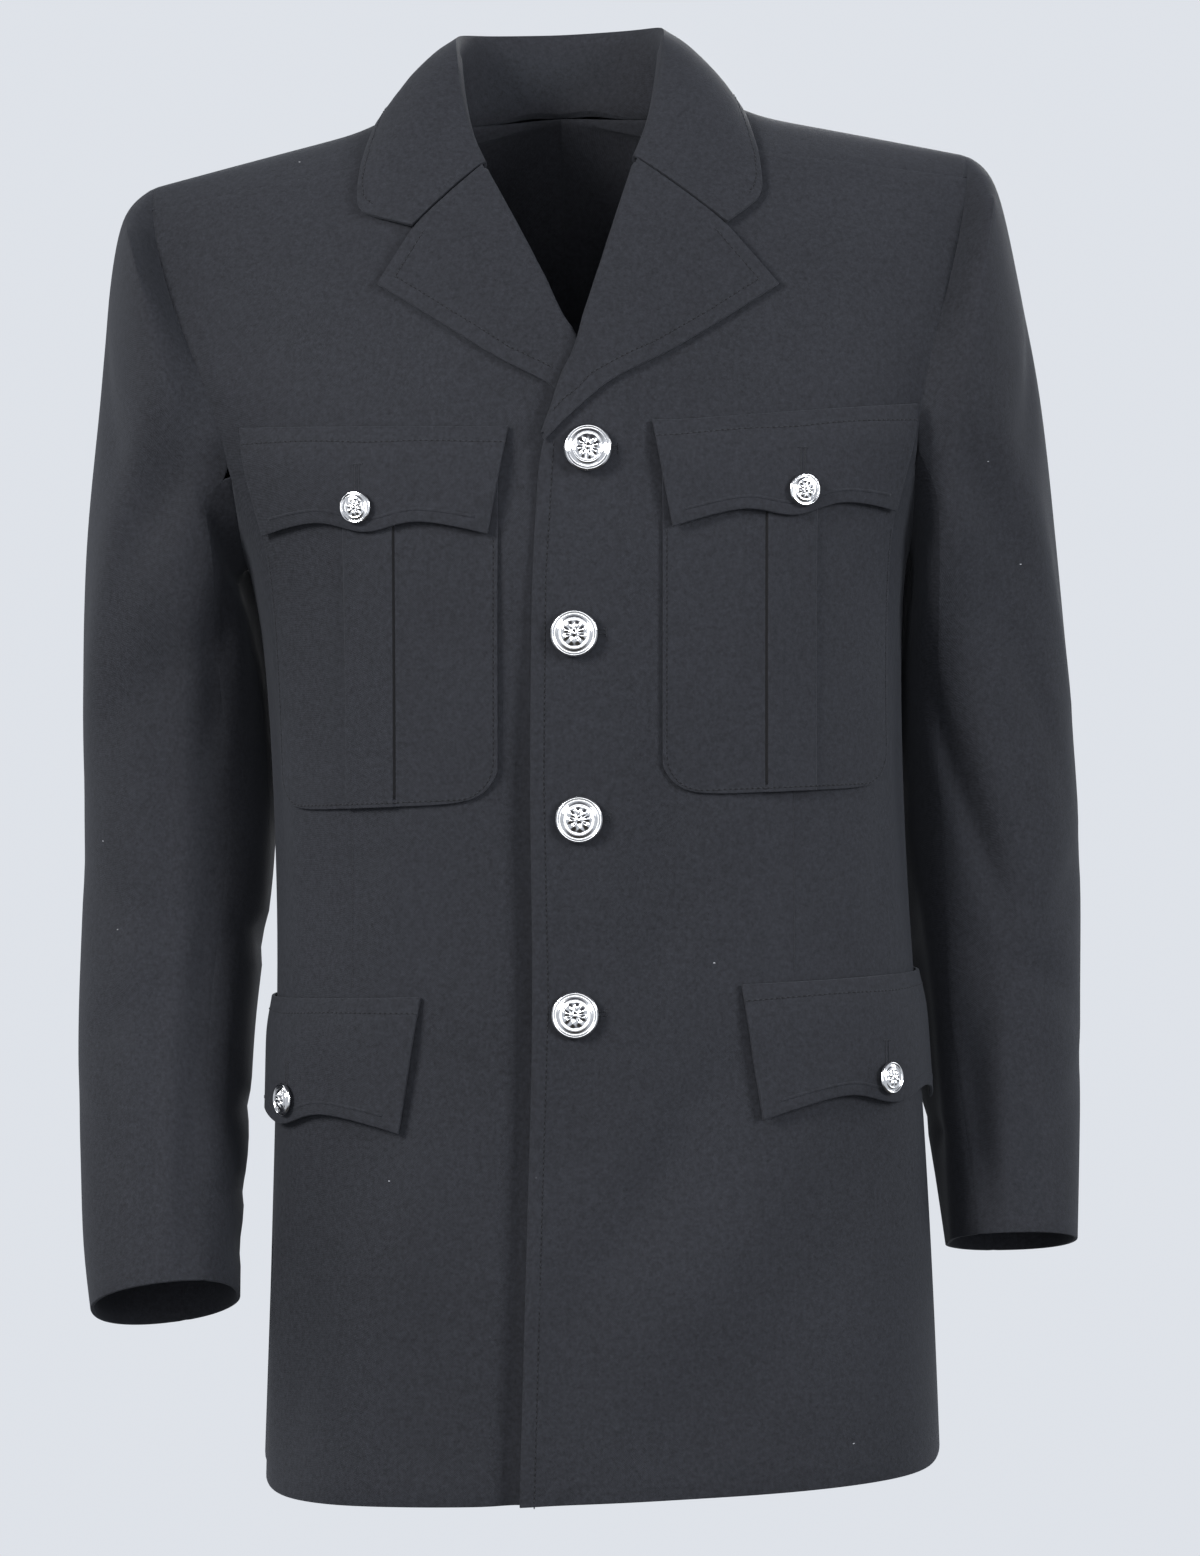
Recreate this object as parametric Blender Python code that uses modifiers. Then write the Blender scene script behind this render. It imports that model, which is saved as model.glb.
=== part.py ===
"""A police-style uniform tunic in its worn form, hollow, with open neck, cuffs and hem.

Metres, +Z up. The garment faces -Y and its left is +X. The origin is midway between the two neck
points of the shoulders. The torso is one smooth surface, given by sections down the body, and each
cut piece is a wall over its own stretch of that surface. What is sewn on a panel is the same
surface moved outwards. The sleeves run through rings that start at the armholes.
"""

import math

import bmesh
import bpy
import numpy as np
from mathutils import Matrix, Vector

COLLECTION = "police_uniform_tunic"

# Driving dimensions
BODY_WALL = 0.0022
SLEEVE_WALL = 0.0020
TRIM_WALL = 0.0020
POCKET_WALL = 0.0016
SEAM = 0.0003
LEAN = 0.04
SQUARENESS = 2.5
SLEEVE_SQUARENESS = 2.25
BUTTON_LINE = 0.012

# Torso sections. The first is the shoulder ridge and the last is the hem. Each holds its height,
# how far it reaches to the front and to the back, its half width, the x of its middle, how fast
# it falls towards the shoulder tips, and how far out the armhole cuts it in front and behind.
TORSO_COLUMNS = (
    "height", "front", "back", "half_width", "centre", "fall", "armhole_front", "armhole_back",
)
TORSO_ROWS = (
    (0.000, 0.000, 0.000, 0.2620, 0.0000, 0.235, 0.2300, 0.2300),
    (-0.018, 0.036, 0.036, 0.2600, 0.0000, 0.232, 0.2290, 0.2295),
    (-0.050, 0.064, 0.066, 0.2550, 0.0005, 0.215, 0.2240, 0.2270),
    (-0.095, 0.091, 0.092, 0.2460, 0.0020, 0.180, 0.2130, 0.2200),
    (-0.145, 0.112, 0.108, 0.2310, 0.0050, 0.120, 0.1990, 0.2090),
    (-0.200, 0.124, 0.116, 0.2090, 0.0080, 0.050, 0.1890, 0.1970),
    (-0.255, 0.128, 0.116, 0.1870, 0.0110, 0.000, 0.1870, 0.1870),
    (-0.310, 0.127, 0.111, 0.1805, 0.0135, 0.000, 0.1805, 0.1805),
    (-0.380, 0.123, 0.103, 0.1785, 0.0160, 0.000, 0.1785, 0.1785),
    (-0.460, 0.120, 0.098, 0.1790, 0.0190, 0.000, 0.1790, 0.1790),
    (-0.540, 0.121, 0.106, 0.1825, 0.0215, 0.000, 0.1825, 0.1825),
    (-0.620, 0.123, 0.116, 0.1860, 0.0230, 0.000, 0.1860, 0.1860),
    (-0.700, 0.125, 0.121, 0.1890, 0.0238, 0.000, 0.1890, 0.1890),
    (-0.772, 0.127, 0.124, 0.1915, 0.0240, 0.000, 0.1915, 0.1915),
)
HEM_ROW = len(TORSO_ROWS) - 1
ARMPIT_ROW = 6
NECK_HALF_WIDTH = 0.075
RIDGE_SOFTNESS = 0.050
NECK_RISE = 0.036
NECK_RISE_REACH = 0.12
SIDE_SEAM_TURN = math.radians(13)
SIDE_SEAM_STRAIGHT_ROW = 8

# The seam at the front of the shoulder, as torso rows at its neck end and at its armhole end.
SHOULDER_SEAM_NECK_ROW = 1.40
SHOULDER_SEAM_TIP_ROW = 0.95
BACK_NECK_ROW = 1.75
SHOULDER_GAP_ROWS = 0.008

# Panel sampling, as torso rows: hem to armpit, and armpit to shoulder.
LOWER_ROWS = (13, 12.2, 11.4, 10.6, 9.8, 9, 8.3, 7.6, 7, 6.5, 6)
UPPER_FRONT_ROWS = (5.93, 5.78, 5.5, 5.05, 4.6, 4.1, 3.6, 3.1, 2.6, 2.1, 1.6)
UPPER_BACK_ROWS = (5.93, 5.78, 5.5, 5.0, 4.5, 4.0, 3.5, 3.0, 2.5, 2.1, BACK_NECK_ROW)
BACK_STRAP_ROWS = (1.45, 1.1, 0.75, 0.35, 0, -0.35, -0.7)
FRONT_COLUMNS = (0, 0.05, 0.10, 0.16, 0.23, 0.31, 0.39, 0.47, 0.55, 0.63, 0.71, 0.79, 0.86, 0.93, 1)
BACK_COLUMNS = 12

# Front edges from hem to shoulder: height, and distance along the cloth from the button line.
LEFT_EDGE = (
    (-0.772, -0.0320), (-0.620, -0.0280), (-0.500, -0.0245), (-0.380, -0.0270),
    (-0.270, -0.0260), (-0.2005, -0.0216), (-0.149, -0.0016), (-0.0425, 0.0312),
    (-0.036, 0.0400), (-0.030, 0.0460),
)
RIGHT_EDGE = (
    (-0.772, 0.0230), (-0.270, 0.0230), (-0.2005, 0.0210), (-0.149, -0.0016),
    (-0.0425, -0.0549), (-0.036, -0.0640), (-0.030, -0.0700),
)
# The back neckline: torso row, and distance out from the middle.
BACK_NECK_EDGE = ((-1.4, 0.058), (-0.7, 0.072), (0.0, 0.077), (1.0, 0.070), (1.45, 0.048), (1.75, 0.0))
# The neckline on the fronts, in the same way but with rows in front.
FRONT_NECK_EDGE = ((1.57, 0.0520), (1.82, 0.0430))

# How far the left front stands off where it lies over the right front and its lapel.
LAY = 0.0006
SEWN_LIFT = 0.0009
LAP_LIFT = BODY_WALL + LAY
LAPEL_LAP_LIFT = BODY_WALL + TRIM_WALL + 3 * LAY
LAP_END = 0.027
LAP_FADE_END = 0.053
LAP_TOP_START = -0.146
LAP_TOP_END = -0.100
LAPEL_LAP_LOW = -0.225
LAPEL_LAP_HIGH = -0.195

# Lapels: height and distance from the button line of the outer edge, from the notch corner down.
LEFT_LAPEL_TOP = ((-0.0445, 0.0325), (-0.0775, 0.0800), (-0.1085, 0.1090))
LEFT_LAPEL_EDGE = (
    (-0.1085, 0.1090), (-0.134, 0.0760), (-0.156, 0.0432), (-0.173, 0.0108), (-0.2000, -0.0190),
)
RIGHT_LAPEL_TOP = ((-0.0445, -0.0562), (-0.0740, -0.0925), (-0.1020, -0.1120))
RIGHT_LAPEL_EDGE = (
    (-0.1020, -0.1120), (-0.131, -0.0756), (-0.155, -0.0432), (-0.171, -0.0135), (-0.2000, 0.0185),
)
LAPEL_ROLL = 0.0022
LAPEL_ROLL_END = 0.66
NOTCH_ACROSS = 0.62

# Collar stations from the front end round to the middle of the back. Each holds the fold's point,
# how far out and on which torso row the leaf's edge lies, its bulge and the row of its foot.
# Negative rows are behind.
COLLAR_ROWS = (
    (0.0440, -0.0600, -0.0330, 0.1120, 2.16, 0.0020, 1.82),
    (0.0535, -0.0420, -0.0080, 0.1110, 1.55, 0.0050, 1.20),
    (0.0600, -0.0200, 0.0220, 0.1055, 0.80, 0.0050, 0.70),
    (0.0625, 0.0040, 0.0420, 0.0980, 0.00, 0.0040, 0.00),
    (0.0600, 0.0320, 0.0500, 0.0890, -0.90, 0.0040, -0.95),
    (0.0430, 0.0600, 0.0530, 0.0610, -1.85, 0.0050, -1.50),
    (0.0000, 0.0740, 0.0540, 0.0000, -2.25, 0.0050, -1.75),
)
COLLAR_WALL = 0.0022
COLLAR_STATIONS = 25
COLLAR_FOLD_RADIUS = 0.0034
COLLAR_CLEARANCE = 0.0012
COLLAR_FALL_SHARES = (0.17, 0.34, 0.60, 0.84)
NOTCH_SHARE = 0.34
NECK_GAP = 0.0008
NECK_INSET = 0.0026
GORGE_GAP = 0.0010
# The collar's front end rolls round the neckline: steps inwards and outwards from its edge.
COLLAR_END_ROLL = (
    (-0.0010, 0.0019), (0.0024, 0.0008), (0.0024, -0.0018), (0.0016, -0.0036), (0.0004, -0.0045),
)

# Chest pocket and flap, as distances along the cloth and heights.
CHEST_CENTRE = 0.1160
CHEST_HALF_WIDTH = 0.0715
CHEST_TOP = -0.2090
CHEST_BOTTOM = -0.3915
CHEST_CORNER = 0.022
PLEAT_HALF_WIDTH = 0.0140
PLEAT_RAISE = 0.0016
PLEAT_STEP = 0.0012
CHEST_FLAP_TOP = -0.1903
CHEST_FLAP_DROP = 0.0485
CHEST_FLAP_POINT = 0.0070
CHEST_FLAP_CORNER = 0.0080
CHEST_FLAP_RISE = 0.0185
CHEST_FLAP_HALF_TOP = 0.0775
CHEST_FLAP_HALF_BOTTOM = 0.0665
CHEST_FLAP_STAND = 0.0046

# Skirt flap.
SKIRT_CENTRE = 0.1830
SKIRT_FLAP_TOP = -0.4955
SKIRT_FLAP_DROP = 0.0620
SKIRT_FLAP_POINT = 0.0085
SKIRT_FLAP_CORNER = 0.0120
SKIRT_FLAP_HALF_TOP = 0.0955
SKIRT_FLAP_HALF_BOTTOM = 0.0845
SKIRT_FLAP_STAND = 0.0030

# The lower edge of both flaps: where its two arcs are highest, as a share of the half width.
FLAP_ARC = 0.33
FLAP_POINT_WIDTH = 0.26
FLAP_ARC_POWER = 1.5
FLAP_RISE_POWER = 1.3
FLAP_SEWN_SHARE = 0.30
FLAP_COLUMNS = 17

# Buttons: height and distance from the button line.
FRONT_BUTTONS = ((-0.2050, 0.0040), (-0.3015, -0.0025), (-0.4020, 0.0000), (-0.5080, -0.0025))
FRONT_BUTTON_RADIUS = 0.0127
SMALL_BUTTON_RADIUS = 0.0088
CHEST_BUTTON = (-0.2275, 0.1200)
SKIRT_BUTTON = (-0.5515, 0.1750)
BUTTON_SEGMENTS = 16

# Sleeve rings from just past the armhole to the cuff. Each holds its middle, half its breadth
# from the body outwards, half its depth from front to back, how far its outer side is tipped up
# and how far its front is, in degrees.
RIGHT_SLEEVE_ROWS = (
    (0.2144, 0.0000, -0.1630, 0.1092, 0.0780, 73.3, 0),
    (0.2163, 0.0060, -0.1925, 0.0999, 0.0790, 67.2, 0),
    (0.2174, 0.0140, -0.2350, 0.0824, 0.0770, 57.8, 0),
    (0.2198, 0.0220, -0.2825, 0.0659, 0.0740, 40.3, 0),
    (0.2201, 0.0360, -0.3400, 0.0577, 0.0710, 20.4, 0),
    (0.2186, 0.0360, -0.4200, 0.0548, 0.0670, 4.8, 0),
    (0.2245, 0.0220, -0.5070, 0.0507, 0.0630, 0.0, 5),
    (0.2247, 0.0060, -0.5624, 0.0487, 0.0590, -2.0, 12),
    (0.2236, -0.0100, -0.6050, 0.0467, 0.0560, -4.0, 18),
    (0.2235, -0.0250, -0.6400, 0.0445, 0.0540, -6.0, 18),
    (0.2200, -0.0400, -0.6730, 0.0420, 0.0520, -7.5, 19),
)
LEFT_SLEEVE_ROWS = (
    (0.2233, 0.0000, -0.1540, 0.1163, 0.0780, 78.7, 0),
    (0.2292, 0.0060, -0.1915, 0.0984, 0.0790, 71.8, 0),
    (0.2348, 0.0150, -0.2325, 0.0820, 0.0770, 62.2, 0),
    (0.2388, 0.0300, -0.2810, 0.0639, 0.0740, 46.1, 0),
    (0.2425, 0.0400, -0.3450, 0.0539, 0.0710, 21.8, 0),
    (0.2472, 0.0460, -0.4200, 0.0528, 0.0680, 4.5, 0),
    (0.2500, 0.0480, -0.5000, 0.0501, 0.0650, 1.8, 2),
    (0.2532, 0.0400, -0.5600, 0.0463, 0.0590, 0.9, 7),
    (0.2558, 0.0240, -0.6050, 0.0413, 0.0540, 1.0, 11),
    (0.2574, 0.0120, -0.6440, 0.0376, 0.0500, 1.0, 12),
)
# The torso rows at which the two sleeve seams reach the armhole.
SLEEVE_FRONT_SEAM_ROW = 5.05
SLEEVE_BACK_SEAM_ROW = 4.0
SLEEVE_SEAM_TURN = math.radians(0.4)
SLEEVE_CLOSE_ROWS = 8
SLEEVE_GAP = 0.0006
SLEEVE_FULL_TURN = 0.35
SLEEVE_CLEARANCE = 0.0038
ARMPIT_CLEARANCE = 0.0012
FLAP_CLEARANCE = 0.0070
FLAP_CLEARANCE_ROW = 8.8

# Finishes: colour, roughness, metallic
CLOTH_LOOK = ((0.018, 0.019, 0.023), 0.88, 0.0)
BUTTON_LOOK = ((0.78, 0.79, 0.80), 0.18, 1.0)


def smoothstep(value):
    value = np.clip(value, 0.0, 1.0)
    return value * value * (3 - 2 * value)


def extended(values, before):
    after = 2 * values[-1] - values[-2]
    return np.array([before, *values, after])


def torso_tables():
    """Each column with one more value at both ends, so that the curve through it is smooth there."""
    columns = {name: [row[i] for row in TORSO_ROWS] for i, name in enumerate(TORSO_COLUMNS)}
    tables = {name: extended(values, values[1]) for name, values in columns.items()}
    tables["front"] = extended(columns["front"], -columns["back"][1])
    tables["back"] = extended(columns["back"], -columns["front"][1])
    return tables


TORSO = torso_tables()


def spline(table, row):
    """The Catmull-Rom curve through a table that has one extra value at each end."""
    start = np.clip(np.floor(row).astype(int), 0, len(table) - 4)
    t = row - start
    a, b, c, d = (table[start + k] for k in range(4))
    return b + 0.5 * t * (c - a + t * (2 * a - 5 * b + 4 * c - d + t * (3 * (b - c) + d - a)))


def power(value):
    return np.sign(value) * np.abs(value) ** (2 / SQUARENESS)


def torso(row, theta):
    """A point of the torso. Theta is 0 at the front, positive to the left and pi at the back.

    A row below zero has crossed the shoulder ridge to the other side.
    """
    row, theta = np.broadcast_arrays(np.asarray(row, float), np.asarray(theta, float))
    over = row < 0
    theta = np.where(over, np.where(theta < 0, -1.0, 1.0) * (math.pi - np.abs(theta)), theta)
    row = np.abs(row)
    in_front = np.cos(theta) >= 0
    out = spline(TORSO["half_width"], row) * power(np.sin(theta))
    depth = np.where(in_front, spline(TORSO["front"], row), spline(TORSO["back"], row))
    x = spline(TORSO["centre"], row) + out
    y = -depth * power(np.cos(theta))
    fall_start = math.hypot(NECK_HALF_WIDTH, RIDGE_SOFTNESS)
    fall = spline(TORSO["fall"], row) * (np.hypot(out, RIDGE_SOFTNESS) - fall_start)
    near_neck = np.clip(1 - (out / NECK_RISE_REACH) ** 2, 0, 1) ** 2
    fade = np.where(in_front, smoothstep(1 - row / 1.8), smoothstep((4.6 - row) / 2.4))
    z = spline(TORSO["height"], row) - fall + NECK_RISE * near_neck * fade + LEAN * x
    return np.stack([x, y, z], axis=-1)


def torso_normal(row, theta):
    """The outward direction of the torso surface."""
    across = torso(row, theta + 0.02) - torso(row, theta - 0.02)
    down = torso(row + 0.02, theta) - torso(row - 0.02, theta)
    normal = np.cross(down, across)
    normal /= np.linalg.norm(normal, axis=-1, keepdims=True)
    return normal


ROW_SAMPLES = np.linspace(0, HEM_ROW, 40 * HEM_ROW + 1)
HEIGHT_SAMPLES = spline(TORSO["height"], ROW_SAMPLES)
THETA_SAMPLES = np.linspace(-2.4, 2.4, 241)


def row_at(height):
    return np.interp(-np.asarray(height, float), -HEIGHT_SAMPLES, ROW_SAMPLES)


def theta_at(row, reach):
    """The angle whose distance along the section from the button line is reach."""
    row, reach = np.broadcast_arrays(np.asarray(row, float), np.asarray(reach, float))
    found = np.empty(row.size)
    for i, (one_row, one_reach) in enumerate(zip(row.flat, reach.flat)):
        points = torso(one_row, THETA_SAMPLES)
        steps = np.linalg.norm(np.diff(points, axis=0), axis=1)
        along = np.concatenate([[0.0], np.cumsum(steps)])
        middle = np.interp(BUTTON_LINE, points[60:181, 0], along[60:181])
        found[i] = np.interp(one_reach, along - middle, THETA_SAMPLES)
    return found.reshape(row.shape)


def theta_out(row, out, behind=False):
    """The angle at which a section is this far out from its middle."""
    share = np.clip(np.abs(out) / spline(TORSO["half_width"], np.abs(row)), 0, 1)
    theta = np.arcsin(share ** (SQUARENESS / 2))
    return math.pi - theta if behind else theta


def side_seam(row):
    """The angle of the side seam, which swings back as it goes down from the armpit."""
    share = (row - ARMPIT_ROW) / (SIDE_SEAM_STRAIGHT_ROW - ARMPIT_ROW)
    return math.pi / 2 + SIDE_SEAM_TURN * smoothstep(share)


def armhole(row, behind):
    name = "armhole_back" if behind else "armhole_front"
    return theta_out(row, spline(TORSO[name], row), behind)


def left_lift(reach, height):
    """How far the left front stands off, over the right front and, higher up, over its lapel."""
    high = smoothstep((height - LAPEL_LAP_LOW) / (LAPEL_LAP_HIGH - LAPEL_LAP_LOW))
    above = smoothstep((height - LAP_TOP_START) / (LAP_TOP_END - LAP_TOP_START))
    full = (LAP_LIFT + (LAPEL_LAP_LIFT - LAP_LIFT) * high) * (1 - above)
    return full * (1 - smoothstep((reach - LAP_END) / (LAP_FADE_END - LAP_END)))


def no_lift(reach, height):
    return np.zeros(np.broadcast(reach, height).shape)


def collection():
    parts = bpy.data.collections.new(COLLECTION)
    bpy.context.scene.collection.children.link(parts)
    return parts


def finish(name, look):
    material = bpy.data.materials.new(name)
    material.use_nodes = True
    shader = material.node_tree.nodes["Principled BSDF"]
    colour, roughness, metallic = look
    shader.inputs["Base Color"].default_value = (*colour, 1)
    shader.inputs["Roughness"].default_value = roughness
    shader.inputs["Metallic"].default_value = metallic
    return material


def wall(parts, name, outer, inner, look=CLOTH_LOOK):
    """A closed cloth wall between an outer and an inner grid of points."""
    rows, columns = outer.shape[:2]
    mesh = bmesh.new()
    layers = [[[mesh.verts.new(p) for p in line] for line in grid] for grid in (outer, inner)]
    out, back = layers
    for i in range(rows - 1):
        for j in range(columns - 1):
            mesh.faces.new((out[i][j], out[i][j + 1], out[i + 1][j + 1], out[i + 1][j]))
            mesh.faces.new((back[i][j], back[i + 1][j], back[i + 1][j + 1], back[i][j + 1]))
    rim = [(0, j) for j in range(columns)]
    rim += [(i, columns - 1) for i in range(1, rows)]
    rim += [(rows - 1, j) for j in range(columns - 2, -1, -1)]
    rim += [(i, 0) for i in range(rows - 2, 0, -1)]
    for (i, j), (k, m) in zip(rim, rim[1:] + rim[:1]):
        mesh.faces.new((out[k][m], out[i][j], back[i][j], back[k][m]))
    bmesh.ops.recalc_face_normals(mesh, faces=mesh.faces)
    data = bpy.data.meshes.new(name)
    mesh.to_mesh(data)
    mesh.free()
    data.shade_smooth()
    data.set_sharp_from_angle(angle=math.radians(40))
    data.materials.append(finish(name, look))
    piece = bpy.data.objects.new(name, data)
    parts.objects.link(piece)
    return piece


def torso_wall(parts, name, row, theta, lift, thickness):
    """A wall on the torso whose outer side is lifted off the surface."""
    point = torso(row, theta)
    normal = torso_normal(row, theta)
    lift = np.asarray(lift)[..., None]
    return wall(parts, name, point + normal * lift, point + normal * (lift - thickness))


def seam_turn(row, theta, gap=SEAM / 2):
    """The change of angle that moves a point half a seam along its section."""
    step = torso(row, theta + 0.01) - torso(row, theta - 0.01)
    return gap * 0.02 / np.linalg.norm(step, axis=-1)


def front_rows(columns):
    """Rows of a front's grid: level up to the armpit, then turning to the slope of the shoulder."""
    top = SHOULDER_SEAM_NECK_ROW + (SHOULDER_SEAM_TIP_ROW - SHOULDER_SEAM_NECK_ROW) * columns
    middle_top = (SHOULDER_SEAM_NECK_ROW + SHOULDER_SEAM_TIP_ROW) / 2
    lines = [np.full(len(columns), float(row)) for row in LOWER_ROWS]
    for row in UPPER_FRONT_ROWS + (middle_top,):
        share = (ARMPIT_ROW - row) / (ARMPIT_ROW - middle_top)
        lines.append(ARMPIT_ROW + (top + SHOULDER_GAP_ROWS - ARMPIT_ROW) * share)
    return np.array(lines)


def front_panel(parts, name, sign, edge, lift_of):
    """One front, from its own edge to the side seam and armhole, hem to shoulder seam."""
    columns = np.array(FRONT_COLUMNS)
    heights, reaches = np.array(edge).T
    grid_rows = front_rows(columns)
    thetas = np.empty_like(grid_rows)
    for i, line in enumerate(grid_rows):
        inner_height = spline(TORSO["height"], line[:1])[0]
        reach = np.interp(inner_height, heights, reaches)
        inner = float(theta_at(line[0], reach))
        if line[-1] >= ARMPIT_ROW:
            outer = side_seam(line[-1])
        else:
            outer = armhole(line[-1], False)
        outer -= seam_turn(line[-1], outer)
        thetas[i] = inner + (sign * outer - inner) * columns
    heights_here = spline(TORSO["height"], grid_rows)
    points = torso(grid_rows, thetas)
    lift = lift_of(points[..., 0] - BUTTON_LINE, heights_here)
    torso_wall(parts, name, grid_rows, thetas, lift, BODY_WALL)


def back_panel(parts, name, sign):
    """Half of the back, hem to neck and over the shoulder to the seam in front of the ridge."""
    columns = np.linspace(0, 1, BACK_COLUMNS)
    neck_rows, neck_outs = np.array(BACK_NECK_EDGE).T
    ends = SHOULDER_SEAM_NECK_ROW + (SHOULDER_SEAM_TIP_ROW - SHOULDER_SEAM_NECK_ROW) * columns
    rows = LOWER_ROWS + UPPER_BACK_ROWS + BACK_STRAP_ROWS
    row_lines = [np.full(BACK_COLUMNS, float(row)) for row in rows]
    row_lines.append(SHOULDER_GAP_ROWS - ends)
    grid_rows = np.array(row_lines)
    thetas = np.empty_like(grid_rows)
    for i, line in enumerate(grid_rows):
        inner_out = np.interp(line[0], neck_rows, neck_outs) if line[0] < BACK_NECK_ROW else 0.0
        inner = theta_out(line[0], max(inner_out, SEAM / 2), True)
        if line[-1] >= ARMPIT_ROW:
            outer = side_seam(line[-1])
        else:
            outer = math.pi - armhole(-line[-1], False) if line[-1] < 0 else armhole(line[-1], True)
        outer += seam_turn(line[-1], outer)
        thetas[i] = inner + (outer - inner) * columns
    torso_wall(parts, name, grid_rows, sign * thetas, no_lift(grid_rows, thetas), BODY_WALL)


def sewn_on(parts, name, reach, height, lift, thickness):
    """A piece that lies on a front: a grid of distances and heights, moved out by its lift."""
    row = row_at(height)
    theta = theta_at(row, reach)
    torso_wall(parts, name, row, theta, np.asarray(lift) + thickness, thickness)


def lapel(parts, name, sign, edge, top, outer_edge, lift_of):
    """A lapel, from the roll line to its outer edge, the notch down to the break."""
    down = np.linspace(0, 1, 12)
    across = np.linspace(0, 1, 9)
    top_height, top_reach = np.array(top).T
    outer_height, outer_reach = np.array(outer_edge).T
    corner = np.interp(across, (0, NOTCH_ACROSS, 1), (0, 1, 2))
    heads = np.stack([np.interp(corner, (0, 1, 2), values) for values in (top_reach, top_height)])
    outer_along = np.interp(down, np.linspace(0, 1, len(outer_height)), np.arange(len(outer_height)))
    outer = np.stack([np.interp(outer_along, np.arange(len(outer_height)), values)
                      for values in (outer_reach, outer_height)])
    edge_height, edge_reach = np.array(edge).T
    roll_height = top_height[0] + (-0.1985 - top_height[0]) * down
    roll_reach = np.interp(roll_height, edge_height, edge_reach) + sign * 0.0006
    reach = np.empty((len(down), len(across)))
    height = np.empty_like(reach)
    for i, share in enumerate(down):
        for grid, roll, line, head in ((reach, roll_reach, outer[0], heads[0]),
                                       (height, roll_height, outer[1], heads[1])):
            straight = roll[i] + (line[i] - roll[i]) * across
            head_straight = head[0] + (head[-1] - head[0]) * across
            grid[i] = straight + (head - head_straight) * (1 - share)
    fade = np.clip(1 - down / LAPEL_ROLL_END, 0, 1)
    rise = LAPEL_ROLL * np.sin(math.pi * across)[None, :] * fade[:, None]
    lift = lift_of(reach, height) + SEWN_LIFT + rise
    sewn_on(parts, name, reach, height, lift, TRIM_WALL)


def chest_pocket(parts, name, sign, lift_of):
    """A patch pocket with round lower corners and a box pleat raised down its middle."""
    half = CHEST_HALF_WIDTH
    pleat = PLEAT_HALF_WIDTH
    lines = (-1.0, -0.93, -0.80, -0.55, -0.30)
    sides = np.array(lines) * half
    folds = [-pleat - PLEAT_STEP, -pleat, 0, pleat, pleat + PLEAT_STEP]
    across = np.concatenate([sides, folds, -sides[::-1]])
    down = np.array([0, 0.12, 0.3, 0.5, 0.7, 0.85, 0.93, 0.98, 1.0])
    fall = CHEST_BOTTOM - CHEST_TOP
    corner = np.clip((np.abs(across) - (half - CHEST_CORNER)) / CHEST_CORNER, 0, 1)
    bottom = fall + CHEST_CORNER * (1 - np.sqrt(1 - (0.96 * corner) ** 2))
    reach = sign * (CHEST_CENTRE + across)[None, :] * np.ones((len(down), 1))
    height = CHEST_TOP + down[:, None] * bottom[None, :]
    raised = np.where(np.abs(across) <= pleat, PLEAT_RAISE, 0.0)[None, :]
    base = lift_of(reach, height) + SEWN_LIFT
    row = row_at(height)
    theta = theta_at(row, reach)
    point = torso(row, theta)
    normal = torso_normal(row, theta)
    inner = point + normal * base[..., None]
    outer = point + normal * (base + POCKET_WALL + raised)[..., None]
    wall(parts, name, outer, inner)


def flap(parts, name, sign, shape, lift_of):
    """A pocket flap that narrows downwards, with a point below its button and two pointed corners."""
    centre, top, drop, point, corner, rise, half_top, half_bottom, stand = shape
    across = np.linspace(-1, 1, FLAP_COLUMNS)
    down = np.array([0, 0.15, FLAP_SEWN_SHARE, 0.55, 0.8, 1.0])
    arc = np.clip((np.abs(across) - FLAP_ARC) / (1 - FLAP_ARC), 0, 1)
    wave = point * np.exp(-(across / FLAP_POINT_WIDTH) ** 2) + corner * arc ** FLAP_ARC_POWER
    risen = rise * ((1 + across) / 2) ** FLAP_RISE_POWER
    half = half_top + (half_bottom - half_top) * down[:, None]
    reach = sign * (centre + half * across[None, :])
    height = top + risen[None, :] - down[:, None] * (drop + risen[None, :] / 2 + wave[None, :])
    stands = stand * smoothstep(down / FLAP_SEWN_SHARE)[:, None]
    lift = lift_of(reach, height) + SEWN_LIFT + stands
    sewn_on(parts, name, reach, height, lift, TRIM_WALL)


def button(parts, name, sign, spot, radius, lift):
    """A domed metal button on its shank, turned round an axis square to the cloth."""
    height, reach = spot
    row = row_at(height)
    theta = theta_at(row, sign * reach)
    normal = Vector(torso_normal(row, theta))
    base = Vector(torso(row, theta)) + normal * (lift + SEAM)
    rim = radius * 0.16
    shank = radius * 0.28
    dome = radius * 0.20
    profile = [(0, rim * 2 + dome), (radius * 0.55, rim * 2 + dome * 0.65), (radius * 0.84, rim * 2)]
    profile += [(radius * 0.93, rim * 2.3), (radius, rim * 1.6), (radius * 0.95, rim)]
    profile += [(shank, rim), (shank, 0), (0, 0)]
    mesh = bpy.data.meshes.new(name)
    mesh.from_pydata([(x, 0, z) for x, z in profile], [(i, i + 1) for i in range(len(profile) - 1)], [])
    mesh.materials.append(finish(name, BUTTON_LOOK))
    piece = bpy.data.objects.new(name, mesh)
    piece.matrix_world = Matrix.Translation(base) @ normal.to_track_quat("Z", "Y").to_matrix().to_4x4()
    parts.objects.link(piece)
    turn = piece.modifiers.new("turn", "SCREW")
    turn.steps = BUTTON_SEGMENTS
    turn.render_steps = BUTTON_SEGMENTS
    turn.use_merge_vertices = True
    turn.merge_threshold = 0.0001
    turn.use_smooth_shade = True
    return piece


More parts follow.
